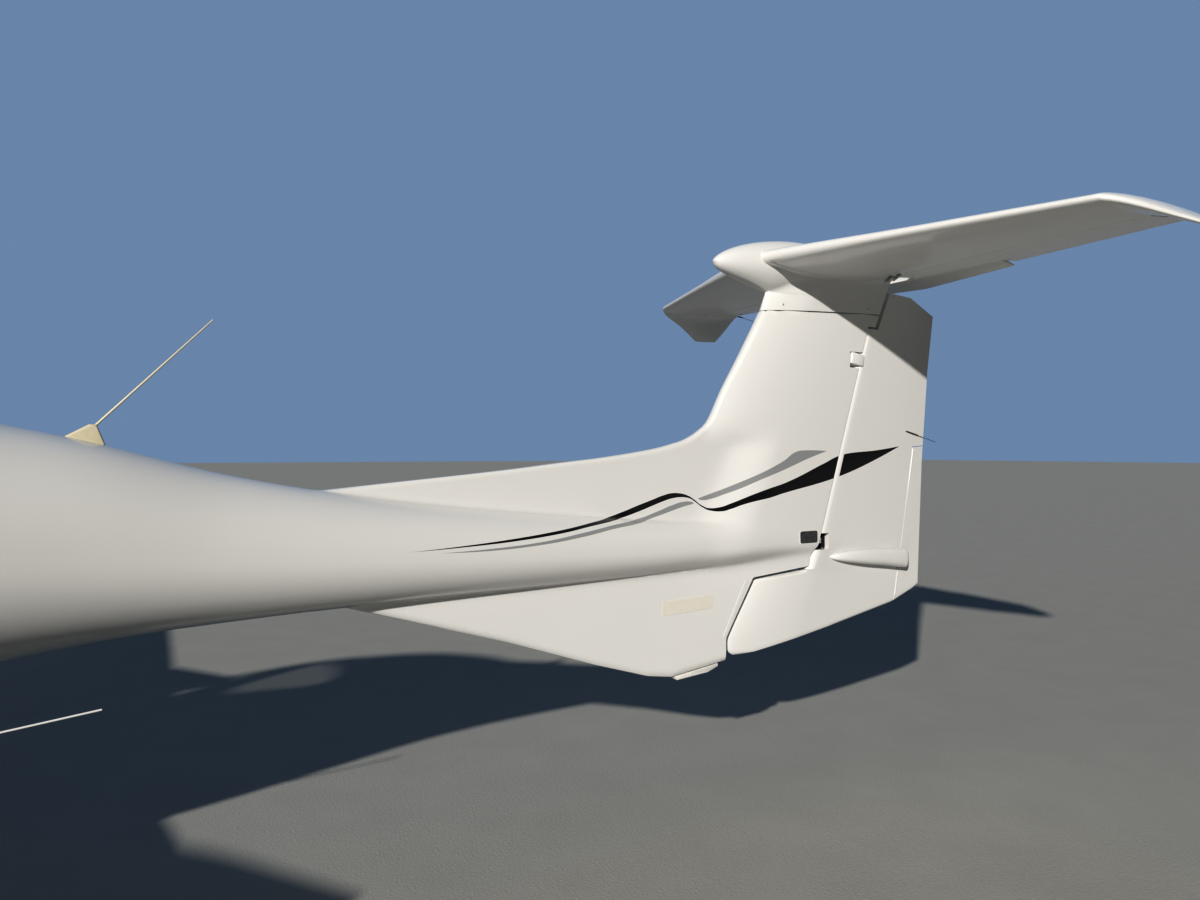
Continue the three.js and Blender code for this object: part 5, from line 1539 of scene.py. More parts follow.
def bullet_half(x, z):
    """Half width of the bullet fairing at x and a level, negative outside it."""
    top, half, bottom, low_power = bullet_size(x)
    above = z > BULLET_MIDDLE
    height = np.maximum(np.where(above, top - BULLET_MIDDLE, BULLET_MIDDLE - bottom), 1e-4)
    power = np.where(above, 2, low_power)
    t = np.abs(z - BULLET_MIDDLE) / height
    inside = half * (1 - np.minimum(t, 1) ** power) ** (1 / power)
    return inside - 1.5 * np.maximum(t - 1, 0) * height - 2 * max(BULLET_FRONT - x, 0)


def bullet_ring(x):
    """A section of the bullet fairing square to X."""
    top, half, bottom, low_power = bullet_size(x)
    rise, drop = top - BULLET_MIDDLE, BULLET_MIDDLE - bottom
    return oval((x, 0, BULLET_MIDDLE), half, rise, drop, 80, low_power=low_power)


def cap_half(x, z):
    """Half width of the fin's cap and the bullet above it, with the flare between them."""
    edge = fin_front(z)
    fin = fin_half(x, z) if x > edge else x - edge
    flare = 0.012 + FLARE * ease(x - edge, -0.03, 0.25) * (1 - ease(z, 2.16, 2.34))
    return smooth_max(bullet_half(x, z) - 0.001, fin, flare) + 0.0006


def cap_ring(share):
    """A section of the fin's cap at a share of the way from its seam up into the bullet."""
    def level(x):
        seam = fin_cap(x) + 0.0015
        return seam + share * (CAP_TOP - seam)

    front = next(x for x in np.arange(2.9, 3.4, 0.002) if cap_half(x, level(x)) > 0)
    low, high = front - 0.002, front
    for _ in range(8):
        middle = (low + high) / 2
        low, high = (low, middle) if cap_half(middle, level(middle)) > 0 else (middle, high)
    places = high + (CAP_END - high) * np.linspace(0, 1, 64) ** 1.8
    side = [(x, cap_half(x, level(x)) if k else 0, level(x)) for k, x in enumerate(places)]
    return ring([*side, *[(x, -y, z) for x, y, z in side[:0:-1]]])


ROOT_CUT_HALF = 0.112
ROOT_CUT_X = 4.045
ELEVATOR_TAB_X = 4.095
ELEVATOR_TAB_HALF = 0.56
ELEVATOR_TAB_DROOP = 13.5


class AIRCRAFT_OT_stabiliser(bpy.types.Operator):
    """Adds the stabiliser with its bullet fairing, the elevator and its tab"""

    bl_idname = "aircraft.stabiliser"
    bl_label = "Stabiliser and elevator"

    def execute(self, context):
        inner = stations(0.0, (1.3, 0.1), (1.645, 0.023))
        spans = [-y for y in inner[:0:-1]] + inner
        blade = skin([stabiliser_ring(y) for y in spans])
        seam = prism([*self.root_seam(0.0), *self.root_seam(0.0036)[::-1]], 2.2, 2.36, axis="Z")
        blade = combine(blade, [self.slot_cutter(), seam, mirrored(seam)])
        finished("stabiliser_skin", blade, banded_gelcoat, nodes=["stabiliser"])
        first = BULLET_FRONT + 0.0005
        places = stations(first, (first + 0.01, 0.002), (first + 0.06, 0.008), (3.3, 0.016), (3.93, 0.03))
        cap = skin([cap_ring(share) for share in [*np.linspace(0, 0.35, 10), *np.linspace(0.37, 1, 56)]])
        bullet = combine(skin([bullet_ring(x) for x in places]), [cap], "UNION")
        bullet = combine(bullet, [cove_cutters()[1]])
        finished("fin_cap_and_bullet", bullet, plain_gelcoat, nodes=["stabiliser"])
        self.add_elevator()
        self.add_fittings()
        return {"FINISHED"}

    def root_seam(self, shift):
        """Edge of the root fairing, seen from below."""
        line = ((3.0, 0.1), (3.13, 0.112), (3.4, 0.13), (3.6, 0.165), (3.72, 0.212), (3.82, 0.3))
        return [(x, along(line, x) + shift) for x in np.linspace(line[0][0], line[-1][0], 40)]

    def add_fittings(self):
        """Adds the dark root fittings, the screws of the cap and the static wicks of the tips."""
        for side, sign in SIDES.items():
            root = [(3.79, sign * y, 2.318) for y in (0.155, 0.2)]
            lugs = [eased(bar((x, y, z), (x + 0.045, y, z + 0.03), 0.008), 0.002) for x, y, z in root]
            finished(f"elevator_root_lugs_{side}", joined(*lugs), bare_steel)
            add_wick(f"stabiliser_wick_{side}", (4.07, sign * 1.395, 2.384), (4.24, sign * 1.4, 2.356))
        places = []
        for x in (3.265, 3.786):
            z = fin_cap(x) + 0.027
            places.append((x, cap_half(x, z), z))
        pair("cap_screws", studs(places, (0, 1, 0), 0.0045, 0.0016, 14), bare_steel)

    def slot_cutter(self):
        """The space around the elevator's nose and behind it."""
        rows = []
        for y in (-ELEVATOR_HALF - 0.008, -0.7, 0.0, 0.7, ELEVATOR_HALF + 0.008):
            outline = cove(elevator_nose(y), 0.4, 0.9)
            rows.append(ring([(ELEVATOR_X + u, y, STABILISER_Z + v) for u, v in outline]))
        return skin(rows)

    def add_elevator(self):
        """Adds the elevator and its drooped tab."""
        whole = skin([elevator_ring(y) for y in (-ELEVATOR_HALF, -0.7, 0.0, 0.7, ELEVATOR_HALF)])
        root = block((3.6, -ROOT_CUT_HALF, 2.2), (ROOT_CUT_X, ROOT_CUT_HALF, 2.6), 0.01)
        edge = ELEVATOR_TAB_X - 0.014
        room = block((edge, -ELEVATOR_TAB_HALF, 2.2), (4.6, ELEVATOR_TAB_HALF, 2.6))
        kept = block(
            (edge + TAB_GAP, -ELEVATOR_TAB_HALF + 0.006, 2.2), (4.6, ELEVATOR_TAB_HALF - 0.006, 2.6)
        )
        tab = combine(whole.copy(), [kept], "INTERSECT")
        tab = rotated(tab, radians(ELEVATOR_TAB_DROOP), centre=(ELEVATOR_TAB_X, 0, STABILISER_Z))
        finished("elevator_skin", combine(whole, [root, room]), banded_gelcoat, "elevator", ["elevator"])
        finished("elevator_tab_skin", tab, banded_gelcoat, "elevator_trim", ["elevator_tab"])


DIHEDRAL = tan(radians(5))


def wing_level(y, lift=0.0):
    return 0.742 + DIHEDRAL * (y - 0.6) + lift


# Wing: distance along it and from the middle, leading and trailing edge, level, thickness, camber, lean
WING_ROWS = (
    (0.25, 0.25, -2.085, -0.56, wing_level(0.3), 0.145, 0.02, 0),
    (1.68, 1.68, -2.06, -0.6, wing_level(1.68), 0.145, 0.02, 0),
    (4.25, 4.25, -2.015, -0.905, wing_level(4.25), 0.14, 0.02, 0),
    (6.25, 6.25, -1.978, -1.14, wing_level(6.25), 0.13, 0.018, 0),
    (6.484, 6.48, -1.9, -1.15, wing_level(6.48, 0.022), 0.12, 0.012, 20),
    (6.646, 6.61, -1.765, -1.13, wing_level(6.61, 0.108), 0.11, 0, 52),
    (6.804, 6.685, -1.56, -1.085, wing_level(6.685, 0.24), 0.1, 0, 68),
    (6.899, 6.71, -1.37, -1.05, wing_level(6.71, 0.33), 0.09, 0, 74),
    (6.92, 6.715, -1.33, -1.044, wing_level(6.715, 0.35), 0.088, 0, 75),
)
WING_TIP = WING_ROWS[-1][0]
# Nacelle: distance behind the nose, top, bottom, half width, power
NACELLE_ROWS = (
    (1.03, 1.338, 0.975, 0.182, 2.0), (1.055, 1.366, 0.915, 0.228, 2.1), (1.13, 1.402, 0.868, 0.282, 2.3),
    (1.32, 1.44, 0.822, 0.33, 2.5), (1.78, 1.456, 0.786, 0.342, 2.6), (2.15, 1.43, 0.778, 0.334, 2.5),
    (2.55, 1.35, 0.78, 0.292, 2.4), (3.0, 1.222, 0.792, 0.218, 2.2), (3.45, 1.074, 0.806, 0.136, 2.0),
    (3.88, 0.93, 0.842, 0.034, 2.0),
)
ENGINE_Y = 1.68
SHAFT_Z = 1.165
FIREWALL = 1.78
COWL_FRONT = 1.032
COWL_WALL = 0.014
COWL_ROUND = 0.02


def wing_row(s):
    """Place, leading edge, trailing edge, level, thickness, camber and lean of the wing's section."""
    if s < WING_ROWS[3][0]:
        return row_at(WING_ROWS, s, straight)
    return row_at(WING_ROWS, s)


def wing_ring(s):
    """A section of the starboard wing at a distance along it, closing at the winglet's tip."""
    y, lead, trail, z, ratio, camber, lean = wing_row(s)
    chord, lean = trail - lead, radians(lean)
    shares = closing(40)
    close = rounding(WING_TIP - s, 0.02)
    halves = np.maximum(chord * aerofoil_half(shares, ratio), 0.002 * np.minimum(shares * 30, 1)) * close
    middle = chord * camber * 4 * shares * (1 - shares)
    line = aerofoil_outline(lead, chord, shares, middle + halves, middle - halves)
    return ring([(x, y - off * sin(lean), z + off * cos(lean)) for x, off in line])


def wing_surface(x, y, below=False):
    """Level of the wing's upper or lower surface."""
    _, lead, trail, z, ratio, camber, _ = wing_row(y)
    chord = trail - lead
    share = (x - lead) / chord
    half = chord * aerofoil_half(share, ratio)
    return z + chord * camber * 4 * share * (1 - share) + (-half if below else half)


def nacelle_size(x, inset=0.0):
    """Middle, half height, half width and power of the nacelle's section at x."""
    s = x - NOSE_X
    top, bottom, half, power = row_at(NACELLE_ROWS, s)
    inset += COWL_ROUND * (1 - rounding(s - COWL_FRONT, COWL_ROUND))
    return (top + bottom) / 2, (top - bottom) / 2 - inset, half - inset, power


def nacelle_ring(x, inset=0.0):
    """A section of the starboard nacelle."""
    middle, height, half, power = nacelle_size(x, inset)
    return oval((x, ENGINE_Y, middle), half, height, height, 96, power)


HINGE_SHARE = 0.74
HINGE_CAMBER = 0.02
# Surfaces on the wing's trailing edge: inner end, outer end, hinge level in half thicknesses
TRAILING = {"flap_inner": (0.7, 1.335, -1), "flap_outer": (2.03, 4.17, -1), "aileron": (4.186, 6.13, 0)}


def hinge_place(y):
    """Centre of a trailing surface's nose, and its half thickness there."""
    _, lead, trail, z, ratio, _, _ = wing_row(y)
    chord = trail - lead
    rise = chord * HINGE_CAMBER * 4 * HINGE_SHARE * (1 - HINGE_SHARE)
    return Vector((lead + HINGE_SHARE * chord, y, z + rise)), chord * aerofoil_half(HINGE_SHARE, ratio)


def squared(points, centre, line):
    """A row of points moved along Y into the plane through a centre that is square to a line."""
    return ring([
        (x, centre.y - (line.x * (x - centre.x) + line.z * (z - centre.z)) / line.y, z) for x, z in points
    ])


def trailing_ring(y, line):
    """A section of a flap or aileron: a round nose, then the wing's own surfaces."""
    centre, half = hinge_place(y)
    _, lead, trail, z, ratio, _, _ = wing_row(y)
    chord = trail - lead

    def middle_of(shares):
        return z + chord * HINGE_CAMBER * 4 * shares * (1 - shares)

    outline = hinged_outline(centre.x, centre.z, half, lead, chord, HINGE_SHARE, middle_of, ratio, 0.002)
    return squared(outline, centre, line)


class AIRCRAFT_OT_wings(bpy.types.Operator):
    """Adds the wings with their nacelles, flaps, ailerons, lights and small fittings"""

    bl_idname = "aircraft.wings"
    bl_label = "Wings, flaps and ailerons"

    def execute(self, context):
        blade = skin([
            wing_ring(s)
            for s in stations(0.25, (6.25, 0.25), (6.88, 0.02), (6.915, 0.005), (6.9195, 0.0015))
        ])
        start = NOSE_X + FIREWALL + 0.0008
        nacelle = skin([nacelle_ring(x) for x in stations(start, (NOSE_X + 3.88, 0.05))])
        hull = skin([section_ring(x, 70, 0.003) for x in stations(-2.4, (-0.3, 0.05))])
        tools = [hull, self.well()]
        for name, (inner, outer, level) in TRAILING.items():
            line = (hinge_place(outer)[0] - hinge_place(inner)[0]).normalized()
            rows = []
            for y in (inner - SEAM, outer + SEAM):
                centre, half = hinge_place(y)
                outline = [(centre.x + u, centre.z + v) for u, v in cove(half, 0.3, 0.9)]
                rows.append(squared(outline, centre, line))
            tools.append(skin(rows))
            surface = skin([trailing_ring(y, line) for y in (inner, outer)])
            self.add_hinges(name, inner, outer, level, line)
            pair(f"{name}_skin", eased(surface, 0.0015, 2, 70), plain_gelcoat, name, name)
        wing = combine(combine(blade, [nacelle], "UNION"), tools)
        pair("wing_skin", wing, plain_gelcoat, node="wing")
        self.add_fittings()
        self.add_lights()
        return {"FINISHED"}

    def well(self):
        """The bay in the wing's lower side that the main wheel folds into."""
        outline = [
            (0.69, 0.4), (1.52, 0.4), (1.52, wing_level(1.52, 0.038)), (0.69, wing_level(0.69, 0.038))
        ]
        return prism(outline, -1.69, -1.265, 0.02, "X")

    def add_hinges(self, name, inner, outer, level, line):
        """Adds the pins at a surface's ends and the brackets in the gap ahead of it."""
        pins, brackets = [], []
        for y, way in ((inner, -1), (outer, 1)):
            centre, half = hinge_place(y)
            start = centre + Vector((0, 0, level * (half - 0.006)))
            pins.append(eased(bar(start, start + line * way * 0.0056, 0.006), 0.001))
        pair(f"{name}_pins", joined(*pins), bare_steel, name)
        if level == 0:
            return
        for share in (0.18, 0.82) if outer - inner < 1 else (0.12, 0.5, 0.88):
            centre, half = hinge_place(inner + share * (outer - inner))
            foot = centre.z - half
            plate = prism([
                (centre.x - 0.17, foot + 0.012), (centre.x - 0.13, foot - 0.012),
                (centre.x - 0.03, foot - 0.024), (centre.x, foot - 0.02), (centre.x - 0.002, foot - 0.008),
                (centre.x - 0.02, foot - 0.002), (centre.x - 0.04, foot + 0.012),
            ], centre.y - 0.007, centre.y + 0.007)
            brackets.append(eased(plate, 0.002))
            bolt = Vector((centre.x - 0.01, 0, foot - 0.014))
            ends = [bolt + Vector((0, centre.y + off, 0)) for off in (-0.011, 0.011)]
            brackets.append(eased(bar(*ends, 0.005, segments=12), 0.001))
        pair(f"{name}_brackets", joined(*brackets), painted_steel)

    def add_fittings(self):
        """Adds the walkways, fuel caps, tie-down rings, access covers, wicks and the pitot tube."""
        rows = []
        for y in np.linspace(0.64, 0.98, 10):
            xs = np.linspace(-1.86, -0.78, 40)
            top = [(x, y, wing_surface(x, y) + 0.0012) for x in xs]
            rows.append(ring([*top, *[(x, y, z - 0.004) for x, y, z in top[::-1]]]))
        pair("walkway", skin(rows), black_plastic)
        x, y = -1.6, 3.1
        spot = Vector((x, y, wing_surface(x, y)))
        cap = turned(
            [(0, 0.003), (0.03, 0.003), (0.0325, 0.0018), (0.036, 0.0018), (0.0375, -0.004)], "Z", 40, spot
        )
        latch = block(spot + Vector((-0.02, -0.004, 0.0025)), spot + Vector((0.02, 0.004, 0.006)), 0.0015)
        pair("fuel_cap", joined(cap, latch), polished_alloy)
        spot = Vector((-1.72, 4.3, wing_surface(-1.72, 4.3, True) - 0.011))
        loop = tube(rounds(spot, 0.014, 20), 0.003, 10, True)
        pair("tie_down", loop, bare_steel)
        covers, screws = [], []
        for y in (2.4, 3.4, 5.0, 5.8):
            spot = Vector((-1.5, y, wing_surface(-1.5, y, True)))
            covers.append(
                turned([(0, -0.0014), (0.058, -0.0014), (0.0605, -0.0004), (0.0605, 0.006)], "Z", 40, spot)
            )
            places = [place - Vector((0, 0, 0.0016)) for place in rounds(spot, 0.05, 8, "Z")]
            screws.append(studs(places, (0, 0, 1), 0.0035, 0.0012, 12))
        pair("access_covers", joined(*covers), plain_gelcoat)
        pair("access_screws", joined(*screws), bare_steel)
        for y, body in ((6.05, "aileron"), (6.35, "airframe")):
            trail, z = wing_row(y)[2:4]
            for side, sign in SIDES.items():
                rides_on = f"{body}_{side}" if body == "aileron" else body
                foot, tip = (trail - 0.02, sign * y, z), (trail + 0.14, sign * y, z - 0.012)
                add_wick(f"wing_wick_{round(y * 100)}_{side}", foot, tip, rides_on)
        y = -3.35
        x = -1.86
        foot = wing_surface(x, -y, True)
        edge = [(x, foot + 0.02), (x + 0.09, foot + 0.02), (x + 0.04, foot - 0.14), (x, foot - 0.14)]
        mast = prism(edge, -0.006, 0.006)
        head = turned(
            [(0.0045, -0.16), (0.008, -0.158), (0.0115, -0.13), (0.0125, 0.03), (0.008, 0.055), (0, 0.062)],
            "X", 24, (x + 0.01, 0, foot - 0.145),
        )
        bore = turned([(0, -0.12), (0.0045, -0.12), (0.0045, -0.16)], "X", 24, (x + 0.01, 0, foot - 0.145))
        probe = moved(joined(eased(mast, 0.004, 3), head, bore), 0, y, 0)
        finished("pitot_probe", probe, polished_alloy)

    def add_lights(self):
        """Adds the red and green tip lights and the landing lights."""
        y, lead, _, z = wing_row(6.56)[:4]
        for (side, sign), glass in zip(SIDES.items(), (port_lens, starboard_lens)):
            profile = [
                (0, -0.05), (0.008, -0.0485), (0.015, -0.043), (0.02, -0.033), (0.022, -0.02), (0.02, 0),
                (0.014, 0.03), (0.006, 0.06), (0, 0.072),
            ]
            lens = turned(profile, "X", 32, (lead + 0.028, y + 0.004, z + 0.004))
            finished(f"tip_light_{side}", on_side(lens, sign), glass)
        y = 2.42
        _, lead, _, z = wing_row(y)[:4]
        cover = []
        for step in np.linspace(-0.11, 0.11, 9):
            row = wing_ring(y + step)
            nose = [p for p in row if p.x < lead + 0.075]
            cover.append([Vector((p.x - 0.0008, p.y, p.z)) for p in nose])
        shell = skin([[*row, *[p + Vector((0.004, 0, 0)) for p in row[::-1]], row[0]] for row in cover])
        pair("landing_light_cover", shell, smoked_glass)
        rims = []
        for off in (-0.045, 0.045):
            centre = (lead + 0.001, y + off, z + 0.004)
            profile = [(0, -0.003), (0.02, -0.003), (0.026, -0.006), (0.029, -0.003), (0.029, 0.006)]
            rims.append(turned(profile, "X", 36, centre))
        pair("landing_lamps", joined(*rims), polished_alloy)


PROP_X = -3.305
SPINNER_RADIUS = 0.165
SPINNER_LENGTH = 0.29
# Propeller blade: radius, chord, thickness, pitch in degrees
BLADE_ROWS = (
    (0.045, 0.072, 0.066, 45), (0.19, 0.078, 0.056, 42), (0.3, 0.124, 0.03, 34), (0.48, 0.138, 0.019, 26),
    (0.7, 0.118, 0.013, 20), (0.87, 0.086, 0.009, 16), (0.935, 0.064, 0.006, 14),
)
BLADES = 3


def blade_ring(radius):
    """A section of a blade that points upwards, about the propeller's centre."""
    chord, thick, pitch = row_at(BLADE_ROWS, radius)
    chord *= max(rounding(BLADE_ROWS[-1][0] - radius, 0.05), 0.04)
    sharp = ease(radius, 0.19, 0.32)
    lean = radians(pitch)
    points = []
    for turn in np.linspace(0, 2 * pi, 33)[:-1]:
        u = 0.5 * chord * cos(turn)
        taper = 1 - sharp * 0.55 * (1 - cos(turn)) / 2
        v = 0.5 * thick * sin(turn) * taper * (1 if turn < pi else 1 - 0.45 * sharp)
        points.append(
            (u * sin(lean) + v * cos(lean), u * cos(lean) - v * sin(lean), radius)
        )
    return ring(points)


def spun(bm, count):
    """Copies of a shape at even turns about the X axis."""
    return [rotated(bm.copy(), 2 * pi * k / count, "X") for k in range(count)]


class AIRCRAFT_OT_engines(bpy.types.Operator):
    """Adds the cowls, engines, exhausts, propellers and spinners"""

    bl_idname = "aircraft.engines"
    bl_label = "Engines and propellers"

    def execute(self, context):
        front, rear = NOSE_X + COWL_FRONT, NOSE_X + FIREWALL - 0.0012
        places = stations(front, (front + 0.02, 0.003), (front + 0.1, 0.012), (rear, 0.04))
        outer = skin([nacelle_ring(x) for x in places])
        inner = skin([nacelle_ring(x, COWL_WALL) for x in stations(front + COWL_WALL, (rear + 0.01, 0.04))])
        shaft = bar((front - 0.1, ENGINE_Y, SHAFT_Z), (front + 0.06, ENGINE_Y, SHAFT_Z), 0.12, segments=64)
        tools = [inner, shaft]
        lips = []
        for y, z, radius in ((-0.15, 1.25, 0.048), (0.15, 1.25, 0.048), (0.0, 0.955, 0.062)):
            centre = Vector((front, ENGINE_Y + y, z))
            tools.append(
                bar(centre - Vector((0.1, 0, 0)), centre + Vector((0.17, 0, 0)), radius, segments=48)
            )
            lips.append(self.lip(centre, radius))
        outlet = block((NOSE_X + 1.64, ENGINE_Y - 0.15, 0.6), (rear + 0.05, ENGINE_Y + 0.15, 0.86), 0.03)
        cowl = combine(outer, [*tools, outlet])
        pair("cowl_skin", cowl, plain_gelcoat, node="cowl")
        pair("inlet_lips", joined(*lips), plain_gelcoat)
        screws = []
        ring_points = nacelle_ring(rear - 0.022)[:-1]
        for point in ring_points[3::8]:
            way = (point - Vector((point.x, ENGINE_Y, SHAFT_Z))).normalized()
            screws.append(studs([point], way, 0.0065, 0.0014, 16))
        pair("cowl_fasteners", joined(*screws), bare_steel)
        self.add_exhaust()
        for side in SIDES:
            dressed(f"engine_{side}", cast_metal, 0.006)
        self.add_propellers()
        return {"FINISHED"}

    def lip(self, centre, radius):
        """A rounded lip that follows the cowl's surface around an inlet."""
        points = []
        for place in rounds(centre, radius, 40):
            x = place.x
            while not self.inside(x, place) and x < centre.x + 0.3:
                x += 0.002
            points.append((x + 0.003, place.y, place.z))
        return tube(points, 0.006, 12, True)

    def inside(self, x, place):
        """Whether the cowl's section at x reaches around a place."""
        middle, height, half, power = nacelle_size(x)
        up, out = abs(place.z - middle) / height, abs(place.y - ENGINE_Y) / half
        return up**power + out**power < 1

    def add_exhaust(self):
        """Adds the exhaust pipe that leaves through the cowl's outlet, and the flap beside it."""
        line = ((1.6, 0.9), (1.68, 0.82), (1.78, 0.757), (1.9, 0.722))
        path = bent([(NOSE_X + s, ENGINE_Y + 0.06, z) for s, z in line])
        bore = tube([*path[-8:], Vector(path[-1]) + Vector((0.02, 0, -0.005))], 0.0285, 28)
        pair("exhaust_pipe", combine(tube(path, 0.032, 28), [bore]), brown_steel)
        edge = stationed(
            (1.6, 0.802), (1.64, 0.795), (1.75, 0.764), (1.75, 0.759), (1.63, 0.788), (1.6, 0.792)
        )
        vane = prism(edge, ENGINE_Y - 0.14, ENGINE_Y - 0.01)
        pair("cowl_vane", eased(vane, 0.0015), plain_gelcoat)

    def add_propellers(self):
        """Adds both propellers, which turn the same way round."""
        radii = [*stations(0.045, (0.88, 0.03)), *(0.935 - 0.055 * (1 - closing(18)))[1:]]
        blade = skin([blade_ring(radius) for radius in radii])
        ferrule = turned(
            [(0, 0.06), (0.045, 0.06), (0.045, 0.105), (0.042, 0.11), (0.042, 0.125), (0.0445, 0.13),
             (0.0445, 0.152), (0.038, 0.158), (0, 0.158)], "Z", 36,
        )
        hub = turned([(0, -0.062), (0.05, -0.062), (0.066, -0.052), (0.072, -0.04), (0.072, 0.03),
                      (0.066, 0.04), (0, 0.04)], "X", 40)
        plate = turned([(0.03, 0.0375), (0.152, 0.0375), (0.1585, 0.039), (0.1585, 0.046), (0.152, 0.047),
                        (0.03, 0.047), (0.03, 0.0375)], "X", 72)
        spinner = self.spinner_shell()
        screws = studs(
            rounds((0.031, 0, 0), SPINNER_RADIUS - 0.0012, 18, first=0.17), (1, 0, 0), 0.0035, 0.003, 12
        )
        blades = joined(*spun(blade, BLADES))
        metal = joined(*spun(ferrule, BLADES), hub, plate)
        for side, sign in SIDES.items():
            place = (PROP_X, sign * ENGINE_Y, SHAFT_Z)
            body = f"propeller_{side}"
            for name, shape, material, nodes in (
                ("blades", blades, blade_paint, [body]),
                ("propeller_hub", metal, polished_alloy, [body]),
                ("spinner_shell", spinner, plain_gelcoat, [f"spinner_{side}"]),
                ("spinner_screws", screws, bare_steel, ()),
            ):
                finished(f"{name}_{side}", moved(shape.copy(), *place), material, body, nodes)

    def spinner_shell(self):
        """The hollow spinner with a round opening for each blade."""
        def radius_at(t, wall):
            return max(SPINNER_RADIUS * (1 - t**1.9) ** 0.5 - wall, 0)

        back = 0.0376
        shares = np.sin(np.linspace(0, pi / 2, 40))
        outer = [(radius_at(t, 0), back - t * SPINNER_LENGTH) for t in shares]
        inner = [
            (radius_at(t, 0.005), back - t * SPINNER_LENGTH)
            for t in shares[::-1] if radius_at(t, 0.005) > 0.004
        ]
        shell = turned([*outer, (0, inner[0][1]), *inner, outer[0]], "X", 72)
        hole = bar((0, 0, 0.06), (0, 0, 0.26), 0.047, segments=40)
        return combine(shell, spun(hole, BLADES))


MAIN_WHEEL = Vector((-1.48, 1.475, 0.19))
NOSE_WHEEL = Vector((-3.16, 0, 0.178))
LEG = Vector((-1.61, 1.347, 0))
NOSE_LEG_X = -3.18
AXLE = 0.0175
TYRE_POWER = 2.3
TREAD = 0.62


def tyre_shape(radius, width, rim, grooves):
    """A tyre about the Y axis, with grooves around its tread."""
    half, middle = width / 2, (radius + rim) / 2
    tall = radius - middle

    def crown(across):
        return middle + tall * (1 - min(abs(across) / half, 1) ** TYRE_POWER) ** (1 / TYRE_POWER)

    side = []
    for share in np.linspace(1, 0, 9):
        side.append((middle - share * tall, -half * (1 - 0.3 * share**2.2)))
    side.extend(
        (crown(share * half), -share * half) for share in (0.995, 0.98, 0.95, 0.9, 0.83, 0.75, 0.68, TREAD)
    )
    tread = []
    for groove in grooves:
        for across, depth in ((-0.004, 0), (-0.0028, 0.0035), (0.0028, 0.0035), (0.004, 0), (0.008, 0)):
            tread.append((crown(groove + across) - depth, groove + across))
    profile = [*side, *tread, *[(r, -a) for r, a in side[::-1]], side[0]]
    return turned(profile, "Y", 96)


def rim_shape(width, rim, holes):
    """A rim about the Y axis: hub, dished web with lightening holes, barrel and two flanges."""
    side = [
        (AXLE, 0.3 * width), (0.42 * rim, 0.3 * width), (0.52 * rim, 0.26 * width),
        (0.6 * rim, 0.17 * width), (rim - 0.02, 0.11 * width), (rim - 0.0125, 0.13 * width),
        (rim - 0.0095, 0.18 * width), (rim - 0.009, 0.385 * width), (rim - 0.007, 0.41 * width),
        (rim + 0.004, 0.412 * width), (rim + 0.007, 0.4 * width), (rim + 0.0055, 0.387 * width),
        (rim - 0.0004, 0.37 * width),
    ]
    shape = turned([*side, *[(r, -a) for r, a in side[::-1]], side[0]], "Y", 72)
    drills = [
        bar(p - Vector((0, width, 0)), p + Vector((0, width, 0)), 0.0085)
        for p in rounds((0, 0, 0), rim - 0.03, holes, "Y")
    ]
    return combine(shape, drills)


